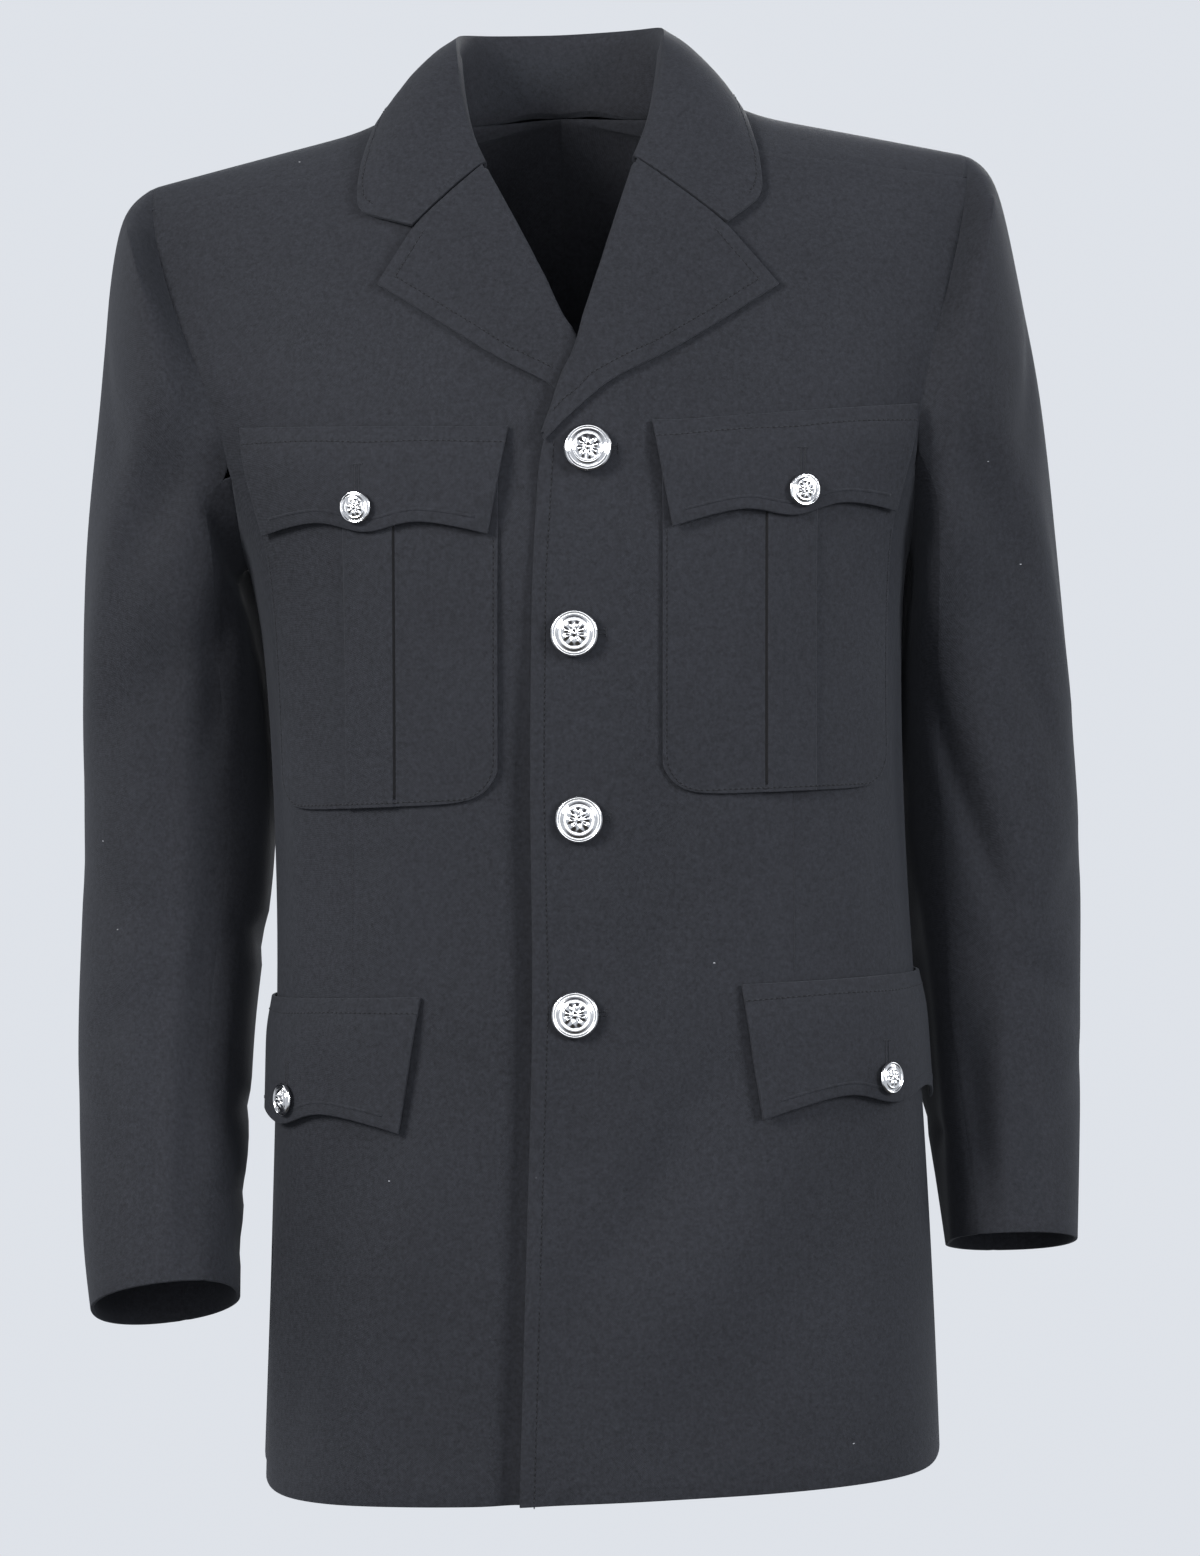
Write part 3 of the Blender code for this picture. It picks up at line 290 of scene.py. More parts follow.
def theta_at(row, reach):
    """The angle at a distance along the cloth from the button line."""
    points = torso(row, SECTION_ANGLES)
    along = np.concatenate([[0.0], np.cumsum(np.linalg.norm(np.diff(points, axis=0), axis=1))])
    middle = np.interp(BUTTON_LINE, points[60:181, 0], along[60:181])
    return float(np.interp(reach, along - middle, SECTION_ANGLES))


def torso_spot(reach, height):
    """The torso's point and outward direction at a distance along the cloth and a height."""
    row = float(row_at(height))
    theta = theta_at(row, reach)
    return Vector(torso(row, theta)), Vector(torso_normal(row, theta))


# Cloth pieces


def placed(name, data):
    """A mesh as an object in the scene."""
    piece = bpy.data.objects.new(name, data)
    scene.collection.objects.link(piece)
    return piece


def mesh_data(name, mesh):
    """A built mesh as mesh data."""
    data = bpy.data.meshes.new(name)
    mesh.to_mesh(data)
    mesh.free()
    return data


def cloth_copy(node, crease_angle=70, levels=2):
    """A node's wall as smooth quads with rounded edges, in a new object."""
    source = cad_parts[node]
    mesh = bmesh.new()
    mesh.from_mesh(source.data)
    bmesh.ops.remove_doubles(mesh, verts=mesh.verts, dist=1e-5)
    bmesh.ops.join_triangles(mesh, faces=mesh.faces, angle_face_threshold=math.radians(50),
                             angle_shape_threshold=math.radians(75))
    crease = mesh.edges.layers.float.new("crease_edge")
    for edge in mesh.edges:
        if len(edge.link_faces) == 2 and edge.calc_face_angle() > math.radians(crease_angle):
            edge[crease] = 1.0
    piece = placed(node + "_cloth", mesh_data(node + "_cloth", mesh))
    smooth = piece.modifiers.new("smooth", "SUBSURF")
    smooth.levels = smooth.render_levels = levels
    rounded = piece.modifiers.new("rounded", "BEVEL")
    rounded.width = EDGE_ROUND
    rounded.segments = 2
    rounded.limit_method = "ANGLE"
    rounded.angle_limit = math.radians(50)
    return solid_mesh(piece)


def solid_mesh(piece):
    """The piece with its modifiers turned into a plain mesh."""
    bpy.context.view_layer.update()
    graph = bpy.context.evaluated_depsgraph_get()
    made = bpy.data.meshes.new_from_object(piece.evaluated_get(graph))
    piece.modifiers.clear()
    old = piece.data
    piece.data = made
    if isinstance(old, bpy.types.Mesh):
        bpy.data.meshes.remove(old)
    made.shade_smooth()
    made.set_sharp_from_angle(angle=math.radians(50))
    return piece


def points_of(piece):
    points = np.empty(len(piece.data.vertices) * 3)
    piece.data.vertices.foreach_get("co", points)
    return points.reshape(-1, 3)


def set_points(piece, points):
    piece.data.vertices.foreach_set("co", points.ravel())
    piece.data.update()


def fold_depth(across, down, folds, scale=1.0):
    """How deep soft folds are at places given by a distance across and a height."""
    depth = np.zeros(across.shape)
    for a0, h0, a1, h1, half_width, size in folds:
        run = np.array([(a1 - a0) * scale, h1 - h0])
        length = np.hypot(*run)
        along = ((across - a0) * scale * run[0] + (down - h0) * run[1]) / length ** 2
        nearest = np.clip(along, 0, 1)
        off = np.hypot((across - a0) * scale - nearest * run[0], down - h0 - nearest * run[1])
        ends = 0.35 + 0.65 * np.sin(math.pi * np.clip(nearest, 0.03, 0.97))
        depth += size * ends * np.exp(-(off / half_width) ** 2)
    return depth


def armhole_points():
    """The points where the sleeves are sewn to the panels."""
    found = []
    for side in SIDES:
        sewn = [v.co for name in ("front_", "back_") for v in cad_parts[name + side].data.vertices]
        panels = KDTree(len(sewn))
        for index, point in enumerate(sewn):
            panels.insert(point, index)
        panels.balance()
        for name in ("top_sleeve_", "under_sleeve_"):
            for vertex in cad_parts[name + side].data.vertices:
                if vertex.co.z > -0.30 and panels.find(vertex.co)[2] < 0.0012:
                    found.append(vertex.co)
    tree = KDTree(len(found))
    for index, point in enumerate(found):
        tree.insert(point, index)
    tree.balance()
    return tree


def away_from(points, tree, near, far):
    """0 within one distance of a tree's points and 1 beyond another."""
    gaps = np.array([tree.find(Vector(point))[2] for point in points])
    return smoothstep((gaps - near) / (far - near))


def close_seams(pieces):
    """Draws sewn rims together, so that no light shows between two pieces."""
    for _ in range(2):
        trees = {name: surface_tree([piece]) for name, piece in pieces.items()}
        for name, piece in pieces.items():
            points = points_of(piece)
            moves = np.zeros(points.shape)
            for other in SEWN_TO[name]:
                for index, point in enumerate(points):
                    spot = Vector(point)
                    hit, _, _, gap = trees[other].find_nearest(spot, SEAM_REACH)
                    if hit is None or gap < 1e-6:
                        continue
                    weight = SEAM_DRAW * float(smoothstep((SEAM_REACH - gap) / SEAM_FADE))
                    moves[index] = np.array(hit - spot) * weight
            set_points(piece, points + moves)


def seat_collar(piece, panels):
    """Draws the foot of the stand to the back's neck edge, where it is sewn."""
    points = points_of(piece)
    for index, point in enumerate(points):
        spot = Vector(point)
        hit, _, _, gap = panels.find_nearest(spot, COLLAR_FOOT_REACH)
        if hit is None:
            continue
        inside = Vector((hit.x, hit.y)).length - Vector((spot.x, spot.y)).length
        facing = smoothstep((inside - 0.0002) / 0.0010)
        weight = float(facing * smoothstep((COLLAR_FOOT_REACH - gap) / 0.0035))
        points[index] += np.array(hit - spot) * weight * 0.92
    set_points(piece, points)


def round_hem(points, reach, height):
    """Lifts the hem softly beside each side seam."""
    for side, sign in SIDES.items():
        near = np.exp(-((sign * reach - SIDE_SEAM) / HEM_BREADTH) ** 2)
        points[:, 2] += HEM_ROUND[side] * near * smoothstep((HEM_TOP - height) / HEM_RUN)


def fold_torso(piece):
    """Presses the panels' folds into a piece that lies on the torso."""
    points = points_of(piece)
    x = points[:, 0] - OVAL_CENTRE
    y = points[:, 1]
    angle = np.arctan2(x / OVAL_HALF_WIDTH, -y / OVAL_HALF_DEPTH)
    reach = angle * OVAL_RADIUS
    across = (x / OVAL_HALF_WIDTH ** 2, y / OVAL_HALF_DEPTH ** 2, np.zeros(len(x)))
    outward = np.stack(across, axis=1)
    outward /= np.linalg.norm(outward, axis=1, keepdims=True)
    height = points[:, 2] - LEAN * points[:, 0]
    depth = fold_depth(reach, height, PANEL_FOLDS)
    depth *= smoothstep((-0.06 - height) / 0.05)
    depth *= away_from(points, ARMHOLES, *ARMHOLE_FADE)
    round_hem(points, reach, height)
    edge = np.interp(height, *np.array(LEFT_EDGE).T)
    if piece.name.startswith("front_left"):
        rim = np.exp(-((reach - edge) / RIM_WIDTH) ** 2)
        depth -= RIM_LIFT * rim * smoothstep((-0.30 - height) / 0.12)
    if piece.name.startswith("front_right"):
        hollow = np.exp(-((reach - edge + HOLLOW_IN) / HOLLOW_WIDTH) ** 2)
        depth += HOLLOW_DEPTH * hollow * smoothstep((-0.24 - height) / 0.14)
    set_points(piece, points - outward * depth[:, None])


def off_axis(points, side):
    """How far a sleeve's points lie from its axis, level by level."""
    axis = np.array(SLEEVE_AXES[side])
    order = np.argsort(axis[:, 2])
    middle = [np.interp(points[:, 2], axis[order, 2], axis[order, k]) for k in (0, 1)]
    return points[:, :2] - np.stack(middle, axis=1)


def rest_on_body(piece, side, panels):
    """Lets the back of a sleeve's inner side fill out towards the body, without touching it."""
    points = points_of(piece)
    sign = SIDES[side]
    off = off_axis(points, side)
    top, bottom = SLEEVE_REST[side]
    amount = smoothstep((top - points[:, 2]) / 0.04) * smoothstep((points[:, 2] - bottom) / 0.05)
    amount *= smoothstep((-sign * off[:, 0] - 0.005) / 0.03)
    amount *= smoothstep((off[:, 1] + 0.012) / 0.035)
    inwards = Vector((-sign, 0.0, 0.0))
    for index in np.nonzero(amount > 0.01)[0]:
        hit, _, _, gap = panels.ray_cast(Vector(points[index]), inwards, BODY_LOOK)
        room = gap if hit is not None else BODY_LOOK
        fill = max(0.0, min(SLEEVE_FILL, room - BODY_GAP))
        points[index, 0] -= sign * float(amount[index]) * fill
    set_points(piece, points)


def fold_sleeve(piece, side):
    """Presses a sleeve's folds into it, fading to nothing at the armhole and the cuff."""
    points = points_of(piece)
    sign = SIDES[side]
    off = off_axis(points, side)
    level = off / np.linalg.norm(off, axis=1, keepdims=True)
    outward = np.concatenate([level, np.zeros((len(off), 1))], axis=1)
    angle = np.degrees(np.arctan2(-off[:, 1], sign * off[:, 0]))
    per_degree = SLEEVE_RADIUS * math.pi / 180
    folds = SLEEVE_FOLDS[side]
    depth = sum(fold_depth(angle + turn, points[:, 2], folds, per_degree) for turn in (0, 360))
    low = SLEEVE_AXES[side][-1][2]
    depth *= smoothstep((-0.09 - points[:, 2]) / 0.06) * smoothstep((points[:, 2] - low) / 0.05)
    depth *= away_from(points, ARMHOLES, *ARMHOLE_FADE)
    beside_body = smoothstep((sign * off[:, 0] + 0.030) / 0.03)
    depth = np.where(depth > 0, depth, depth * beside_body)
    set_points(piece, points - outward * depth[:, None])


# Finishes


def group_socket(tree, name, kind, direction, value=None):
    socket = tree.interface.new_socket(name=name, in_out=direction, socket_type=kind)
    if value is not None:
        socket.default_value = value
    return socket


def add_node(tree, kind, **settings):
    node = tree.nodes.new(kind)
    for name, value in settings.items():
        setattr(node, name, value)
    return node


def link_math(tree, operation, first, second):
    node = add_node(tree, "ShaderNodeMath", operation=operation)
    for index, value in enumerate((first, second)):
        if isinstance(value, (int, float)):
            node.inputs[index].default_value = value
        else:
            tree.links.new(value, node.inputs[index])
    return node.outputs[0]


def noise(tree, place, scale, detail):
    """The value of a noise texture at the given place."""
    node = add_node(tree, "ShaderNodeTexNoise")
    tree.links.new(place, node.inputs["Vector"])
    node.inputs["Scale"].default_value = scale
    node.inputs["Detail"].default_value = detail
    return node.outputs["Fac"]


def mixed(tree, factor, first, second):
    """A colour between two others, each a plain colour or a socket."""
    node = add_node(tree, "ShaderNodeMix", data_type="RGBA", clamp_factor=True)
    tree.links.new(factor, node.inputs["Factor"])
    for index, value in ((MIX_A, first), (MIX_B, second)):
        if isinstance(value, tuple):
            node.inputs[index].default_value = value
        else:
            tree.links.new(value, node.inputs[index])
    return node.outputs[MIX_RESULT]


def wool_twill():
    """A node group: twill lines, nap, uneven dye and lint, from object coordinates."""
    tree = bpy.data.node_groups.new("wool_twill", "ShaderNodeTree")
    group_socket(tree, "Dark", "NodeSocketColor", "INPUT", (0.012, 0.013, 0.016, 1))
    group_socket(tree, "Light", "NodeSocketColor", "INPUT", (0.026, 0.027, 0.032, 1))
    group_socket(tree, "Twill Scale", "NodeSocketFloat", "INPUT", 620.0)
    group_socket(tree, "Lint", "NodeSocketFloat", "INPUT", 1.0)
    group_socket(tree, "Color", "NodeSocketColor", "OUTPUT")
    group_socket(tree, "Roughness", "NodeSocketFloat", "OUTPUT")
    group_socket(tree, "Height", "NodeSocketFloat", "OUTPUT")
    given = add_node(tree, "NodeGroupInput")
    result = add_node(tree, "NodeGroupOutput")
    place = add_node(tree, "ShaderNodeTexCoord").outputs["Object"]
    twill = add_node(tree, "ShaderNodeTexWave", wave_type="BANDS", bands_direction="DIAGONAL")
    tree.links.new(place, twill.inputs["Vector"])
    tree.links.new(given.outputs["Twill Scale"], twill.inputs["Scale"])
    twill.inputs["Distortion"].default_value = 4.0
    twill.inputs["Detail"].default_value = 2.0
    twill.inputs["Detail Scale"].default_value = 0.6
    nap = noise(tree, place, 900.0, 3.0)
    mottle = noise(tree, place, 420.0, 4.0)
    broad = noise(tree, place, 7.0, 3.0)
    fine = link_math(tree, "MULTIPLY", twill.outputs["Fac"], 0.18)
    fuzz = link_math(tree, "MULTIPLY", nap, 0.60)
    dye = link_math(tree, "MULTIPLY", mottle, 0.95)
    wide = link_math(tree, "MULTIPLY", broad, 0.35)
    grain = link_math(tree, "ADD", fine, fuzz)
    tone = link_math(tree, "ADD", link_math(tree, "ADD", grain, dye), wide)
    tone = link_math(tree, "SUBTRACT", tone, 0.54)
    cloth = mixed(tree, tone, given.outputs["Dark"], given.outputs["Light"])
    specks = add_node(tree, "ShaderNodeTexVoronoi", feature="F1")
    stretch = add_node(tree, "ShaderNodeMapping")
    stretch.inputs["Rotation"].default_value = (0.4, 0.3, 0.7)
    stretch.inputs["Scale"].default_value = (1.0, 1.0, 2.2)
    tree.links.new(place, stretch.inputs["Vector"])
    tree.links.new(stretch.outputs["Vector"], specks.inputs["Vector"])
    specks.inputs["Scale"].default_value = 55.0
    chosen = add_node(tree, "ShaderNodeSeparateColor")
    tree.links.new(specks.outputs["Color"], chosen.inputs["Color"])
    few = link_math(tree, "GREATER_THAN", chosen.outputs["Red"], 0.972)
    small = link_math(tree, "LESS_THAN", specks.outputs["Distance"], 0.032)
    lint = link_math(tree, "MULTIPLY", link_math(tree, "MULTIPLY", few, small), given.outputs["Lint"])
    dusted = mixed(tree, lint, cloth, (0.20, 0.205, 0.22, 1))
    rough = link_math(tree, "ADD", link_math(tree, "MULTIPLY", mottle, 0.12), 0.80)
    tree.links.new(dusted, result.inputs["Color"])
    tree.links.new(rough, result.inputs["Roughness"])
    tree.links.new(grain, result.inputs["Height"])
    return tree


def wool_material(name, twill, dark, light, lint=1.0, bump=0.35):
    material = bpy.data.materials.new(name)
    material.use_nodes = True
    tree = material.node_tree
    shader = tree.nodes["Principled BSDF"]
    weave = add_node(tree, "ShaderNodeGroup", node_tree=twill)
    weave.inputs["Dark"].default_value = (*dark, 1)
    weave.inputs["Light"].default_value = (*light, 1)
    weave.inputs["Lint"].default_value = lint
    relief = add_node(tree, "ShaderNodeBump")
    relief.inputs["Strength"].default_value = bump
    relief.inputs["Distance"].default_value = 0.0006
    tree.links.new(weave.outputs["Color"], shader.inputs["Base Color"])
    tree.links.new(weave.outputs["Roughness"], shader.inputs["Roughness"])
    tree.links.new(weave.outputs["Height"], relief.inputs["Height"])
    tree.links.new(relief.outputs["Normal"], shader.inputs["Normal"])
    shader.inputs["Specular IOR Level"].default_value = 0.14
    shader.inputs["Sheen Weight"].default_value = 0.05
    shader.inputs["Sheen Roughness"].default_value = 0.55
    shader.inputs["Sheen Tint"].default_value = (0.55, 0.60, 0.70, 1)
    return material


def chrome_material():
    material = bpy.data.materials.new("bright_chrome")
    material.use_nodes = True
    tree = material.node_tree
    shader = tree.nodes["Principled BSDF"]
    place = add_node(tree, "ShaderNodeTexCoord").outputs["Object"]
    wear = noise(tree, place, 420.0, 4.0)
    rough = add_node(tree, "ShaderNodeMapRange")
    rough.inputs["To Min"].default_value = 0.04
    rough.inputs["To Max"].default_value = 0.20
    tree.links.new(wear, rough.inputs["Value"])
    tree.links.new(rough.outputs["Result"], shader.inputs["Roughness"])
    tint = mixed(tree, wear, (0.50, 0.51, 0.53, 1), (0.78, 0.78, 0.79, 1))
    tree.links.new(tint, shader.inputs["Base Color"])
    shader.inputs["Metallic"].default_value = 1.0
    return material


# Stitches, small sewing and strips of painted seam shade


def stitch_tree(material):
    """Geometry Nodes: one short thread after another along a line."""
    tree = bpy.data.node_groups.new("row_of_stitches", "GeometryNodeTree")
    group_socket(tree, "Geometry", "NodeSocketGeometry", "INPUT")
    group_socket(tree, "Pitch", "NodeSocketFloat", "INPUT", STITCH_PITCH)
    group_socket(tree, "Length", "NodeSocketFloat", "INPUT", STITCH_LENGTH)
    group_socket(tree, "Radius", "NodeSocketFloat", "INPUT", STITCH_RADIUS)
    group_socket(tree, "Geometry", "NodeSocketGeometry", "OUTPUT")
    given = add_node(tree, "NodeGroupInput")
    result = add_node(tree, "NodeGroupOutput")
    line = add_node(tree, "GeometryNodeMeshToCurve")
    spaced = add_node(tree, "GeometryNodeResampleCurve", mode="LENGTH")
    places = add_node(tree, "GeometryNodeInstanceOnPoints")
    thread = add_node(tree, "GeometryNodeMeshUVSphere")
    thread.inputs["Segments"].default_value = 6
    thread.inputs["Rings"].default_value = 4
    thread.inputs["Radius"].default_value = 1.0
    size = add_node(tree, "ShaderNodeCombineXYZ")
    half = add_node(tree, "ShaderNodeMath", operation="MULTIPLY")
    half.inputs[1].default_value = 0.5
    along = add_node(tree, "GeometryNodeInputTangent")
    turn = add_node(tree, "FunctionNodeAlignRotationToVector", axis="Z")
    real = add_node(tree, "GeometryNodeRealizeInstances")
    paint = add_node(tree, "GeometryNodeSetMaterial")
    paint.inputs["Material"].default_value = material
    links = tree.links
    links.new(given.outputs["Geometry"], line.inputs["Mesh"])
    links.new(line.outputs["Curve"], spaced.inputs["Curve"])
    links.new(given.outputs["Pitch"], spaced.inputs["Length"])
    links.new(spaced.outputs["Curve"], places.inputs["Points"])
    links.new(thread.outputs["Mesh"], places.inputs["Instance"])
    links.new(along.outputs["Tangent"], turn.inputs["Vector"])
    links.new(turn.outputs["Rotation"], places.inputs["Rotation"])
    links.new(given.outputs["Length"], half.inputs[0])
    links.new(half.outputs[0], size.inputs["Z"])
    links.new(given.outputs["Radius"], size.inputs["X"])
    links.new(given.outputs["Radius"], size.inputs["Y"])
    links.new(size.outputs["Vector"], places.inputs["Scale"])
    links.new(places.outputs["Instances"], real.inputs["Geometry"])
    links.new(real.outputs["Geometry"], paint.inputs["Geometry"])
    links.new(paint.outputs["Geometry"], result.inputs["Geometry"])
    return tree


def stitched(name, lines, tree, material, pitch=STITCH_PITCH, length=STITCH_LENGTH,
             radius=STITCH_RADIUS):
    """Stitches along lines of points, as one mesh."""
    data = bpy.data.meshes.new(name)
    points = [tuple(point) for line in lines for point in line]
    edges = []
    start = 0
    for line in lines:
        edges += [(start + i, start + i + 1) for i in range(len(line) - 1)]
        start += len(line)
    data.from_pydata(points, edges, [])
    piece = placed(name, data)
    sewing = piece.modifiers.new("sewing", "NODES")
    sewing.node_group = tree
    for item in tree.interface.items_tree:
        value = {"Pitch": pitch, "Length": length, "Radius": radius}.get(item.name)
        if value is not None and item.in_out == "INPUT":
            sewing[item.identifier] = value
    solid_mesh(piece)
    if not piece.data.materials:
        piece.data.materials.append(material)
    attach(piece, "root")


def shade_and_ridge_strip(name, lines, half_width, material, rise=0.00009):
    """A narrow strip along each line: in the near-black seam_shadow cloth, painted shade where sewing
    presses the cloth in; in the plain cloth, a soft raised ridge.
    """
    mesh = bmesh.new()
    for line in lines:
        previous = None
        for index, point in enumerate(line):
            before = line[max(index - 1, 0)]
            after = line[min(index + 1, len(line) - 1)]
            along = (after - before).normalized()
            _, normal, _, _ = everything.find_nearest(point)
            side = along.cross(normal).normalized() * half_width
            top = normal * rise
            offsets = (side - top, side * 0.6 + top, -side * 0.6 + top, -side - top)
            ring = [mesh.verts.new(point + offset) for offset in offsets]
            if previous:
                for k in range(4):
                    j = (k + 1) % 4
                    mesh.faces.new((previous[k], previous[j], ring[j], ring[k]))
            else:
                mesh.faces.new(ring)
            previous = ring
        mesh.faces.new(previous[::-1])
    bmesh.ops.recalc_face_normals(mesh, faces=mesh.faces)
    data = mesh_data(name, mesh)
    data.shade_smooth()
    data.materials.append(material)
    piece = placed(name, data)
    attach(piece, "root")


def surface_tree(pieces):
    """A search tree over the outside of several finished pieces."""
    vertices = []
    polygons = []
    for piece in pieces:
        first = len(vertices)
        vertices += [vertex.co.copy() for vertex in piece.data.vertices]
        polygons += [[first + index for index in face.vertices] for face in piece.data.polygons]
    return BVHTree.FromPolygons(vertices, polygons)


LOOK_FROM = 0.03


def on_cloth(tree, reach, height, sink=0.00005):
    """The outermost cloth above a spot of the torso."""
    spot, outward = torso_spot(reach, height)
    hit, _, _, _ = tree.ray_cast(spot + outward * LOOK_FROM, -outward, 2 * LOOK_FROM)
    if hit is None:
        return None
    return hit - outward * sink


def line_on_cloth(tree, corners, step=0.0025):
    """Points on the cloth along straight runs between spots given by reach and height."""
    line = []
    for (r0, h0), (r1, h1) in zip(corners, corners[1:]):
        count = max(2, int(math.hypot(r1 - r0, h1 - h0) / step))
        for share in np.linspace(0, 1, count, endpoint=False):
            line.append(on_cloth(tree, r0 + (r1 - r0) * share, h0 + (h1 - h0) * share))
    line.append(on_cloth(tree, *corners[-1]))
    return [point for point in line if point is not None]


def inset(corners, amount):
    """Corners moved sideways to the left of their run, mitred."""
    points = np.array(corners, float)
    ahead = np.diff(points, axis=0)
    ahead /= np.linalg.norm(ahead, axis=1, keepdims=True)
    side = np.stack([-ahead[:, 1], ahead[:, 0]], axis=1)
    first = np.concatenate([side[:1], side])
    last = np.concatenate([side, side[-1:]])
    mitre = first + last
    mitre /= np.maximum((mitre * first).sum(axis=1, keepdims=True), 0.35)
    return points + mitre * amount


def flap_spot(sign, shape, across, down):
    """A spot on a flap as reach and height: across from -1 inside to 1 outside, down from 0 to 1."""
    centre, top, drop, point, corner, rise, half_top, half_bottom = shape
    arc = max(0.0, (abs(across) - FLAP_ARC) / (1 - FLAP_ARC))
    wave = point * math.exp(-(across / FLAP_POINT_WIDTH) ** 2) + corner * arc ** FLAP_ARC_POWER
    risen = rise * ((1 + across) / 2) ** FLAP_RISE_POWER
    half = half_top + (half_bottom - half_top) * down
    return (sign * (centre + half * across), top + risen - down * (drop + risen / 2 + wave))


def flap_lines(sign, shape):
    """The sewn line below a flap's top edge, and the soft ridge inside its lower edge."""
    drop = shape[2]
    high = TOPSTITCH_IN / drop
    sewn = [flap_spot(sign, shape, across, high) for across in np.linspace(-0.99, 0.99, 15)]
    low = 1 - FLAP_RIDGE_IN / drop
    ridge = [flap_spot(sign, shape, across, low) for across in np.linspace(-0.88, 0.88, 29)]
    return sewn, ridge


def collar_stitches(sign):
    """A line along the collar leaf's outer edge, found by looking at the collar from outside."""
    line = []
    distance = 0.30
    for angle in np.linspace(0.92, math.pi - 0.02, 90):
        ahead = Vector((sign * math.sin(angle), -math.cos(angle), 0.9)).normalized()
        away = Vector((ahead.x, ahead.y, 0))
        low = None
        for height in np.linspace(-0.075, 0.05, 126):
            start = Vector((0, 0.012, height)) + away * distance
            hit, _, _, _ = collar_tree.ray_cast(start, -away, distance)
            if hit is not None:
                low = height + TOPSTITCH_IN * 0.9
                break
        if low is None:
            continue
        start = Vector((0, 0.012, low)) + away * distance
        hit, _, _, _ = collar_tree.ray_cast(start, -away, distance)
        if hit is not None and (not line or (hit - line[-1]).length < 0.02):
            line.append(hit)
    return line


# The tunic

TWILL = wool_twill()
CHARCOAL = wool_material(
    "charcoal_wool", TWILL, dark=(0.0022, 0.0024, 0.0034), light=(0.0165, 0.0178, 0.0225),
)
THREAD = wool_material(
    "charcoal_thread", TWILL, dark=(0.0060, 0.0065, 0.0082), light=(0.0150, 0.0158, 0.0190), lint=0.0,
)
# A near-black cloth for painted shade: strips along the sewing and beside the pleats, and the darts'
# stitches.
SHADOW = wool_material(
    "seam_shadow", TWILL, dark=(0.0012, 0.0012, 0.0016), light=(0.0030, 0.0030, 0.0038), lint=0.0,
)
CHROME = chrome_material()
STITCHES = stitch_tree(THREAD)

# Each cut: its width and length along the cloth, and the share of that rectangle that it fills.
CUTS = {
    "front_left": (0.340, 0.800, 0.78), "front_right": (0.310, 0.800, 0.82),
    "back_left": (0.270, 0.880, 0.75), "back_right": (0.270, 0.880, 0.75),
    "lapel_left": (0.102, 0.165, 0.52), "lapel_right": (0.093, 0.160, 0.53),
    "collar": (0.460, 0.125, 0.77),
    "top_sleeve_left": (0.245, 0.645, 0.84), "top_sleeve_right": (0.245, 0.670, 0.84),
    "under_sleeve_left": (0.161, 0.515, 0.75), "under_sleeve_right": (0.158, 0.537, 0.77),
    "chest_pocket_left": (0.150, 0.186, 0.98), "chest_pocket_right": (0.150, 0.186, 0.98),
    "chest_flap_left": (0.158, 0.060, 0.88), "chest_flap_right": (0.158, 0.060, 0.88),
    "skirt_flap_left": (0.192, 0.078, 0.86), "skirt_flap_right": (0.192, 0.078, 0.86),
}

SEWN_TO = {node: [] for node in CUTS}
for side in SIDES:
    around = [piece + side for piece in ("front_", "back_", "top_sleeve_", "under_sleeve_")]
    for node in around:
        SEWN_TO[node] = [other for other in around if other != node]
SEWN_TO["back_left"].append("back_right")
SEWN_TO["back_right"].append("back_left")
ARMHOLES = armhole_points()

cloth = {}
for node in CUTS:
    piece = cloth_copy(node, crease_angle=40 if "pocket" in node else 70)
    if "sleeve" in node:
        fold_sleeve(piece, node.rsplit("_", 1)[1])
    elif node != "collar":
        fold_torso(piece)
    piece.data.materials.clear()
    piece.data.materials.append(CHARCOAL)
    cloth[node] = piece
for side in SIDES:
    body = surface_tree([cloth["front_" + side], cloth["back_" + side]])
    for name in ("top_sleeve_", "under_sleeve_"):
        rest_on_body(cloth[name + side], side, body)
close_seams(cloth)
seat_collar(cloth["collar"], surface_tree([cloth[n] for n in ("back_left", "back_right")]))

outside = {
    side: surface_tree([cloth[n] for n in cloth if n.endswith(side) and "sleeve" not in n])
    for side in SIDES
}
collar_tree = surface_tree([cloth["collar"]])
everything = surface_tree(list(cloth.values()))

sewing = {"left": [], "right": []}
ridges = {"left": [], "right": []}
pleat_shadow_lines = {"left": [], "right": []}
for side, sign in SIDES.items():
    for shape in (CHEST_FLAP, SKIRT_FLAP):
        sewn, ridge = flap_lines(sign, shape)
        sewing[side].append(line_on_cloth(outside[side], sewn))
        ridges[side].append(line_on_cloth(outside[side], ridge))
    centre, half, top, bottom, corner, pleat = CHEST_POCKET
    bend = corner - EDGE_STITCH_IN
    turn = [(half - corner + bend * math.sin(a), bottom + corner - bend * math.cos(a))
            for a in np.linspace(0, math.pi / 2, 9)]
    across = [(half - EDGE_STITCH_IN, top - 0.04)] + turn[::-1]
    around = [(centre + u, h) for u, h in across] + [(centre - u, h) for u, h in across[::-1]]
    sewing[side].append(line_on_cloth(outside[side], [(sign * r, h) for r, h in around]))
    # Along each pleat's inner edge: a line for a strip of painted shadow in the near-black seam_shadow
    # cloth.
    inner = [(sign * (centre - pleat - 0.0007), h) for h in np.linspace(top - 0.028, bottom + 0.004, 20)]
    pleat_shadow_lines[side].append(line_on_cloth(outside[side], inner))
    sewing[side].append(collar_stitches(sign))

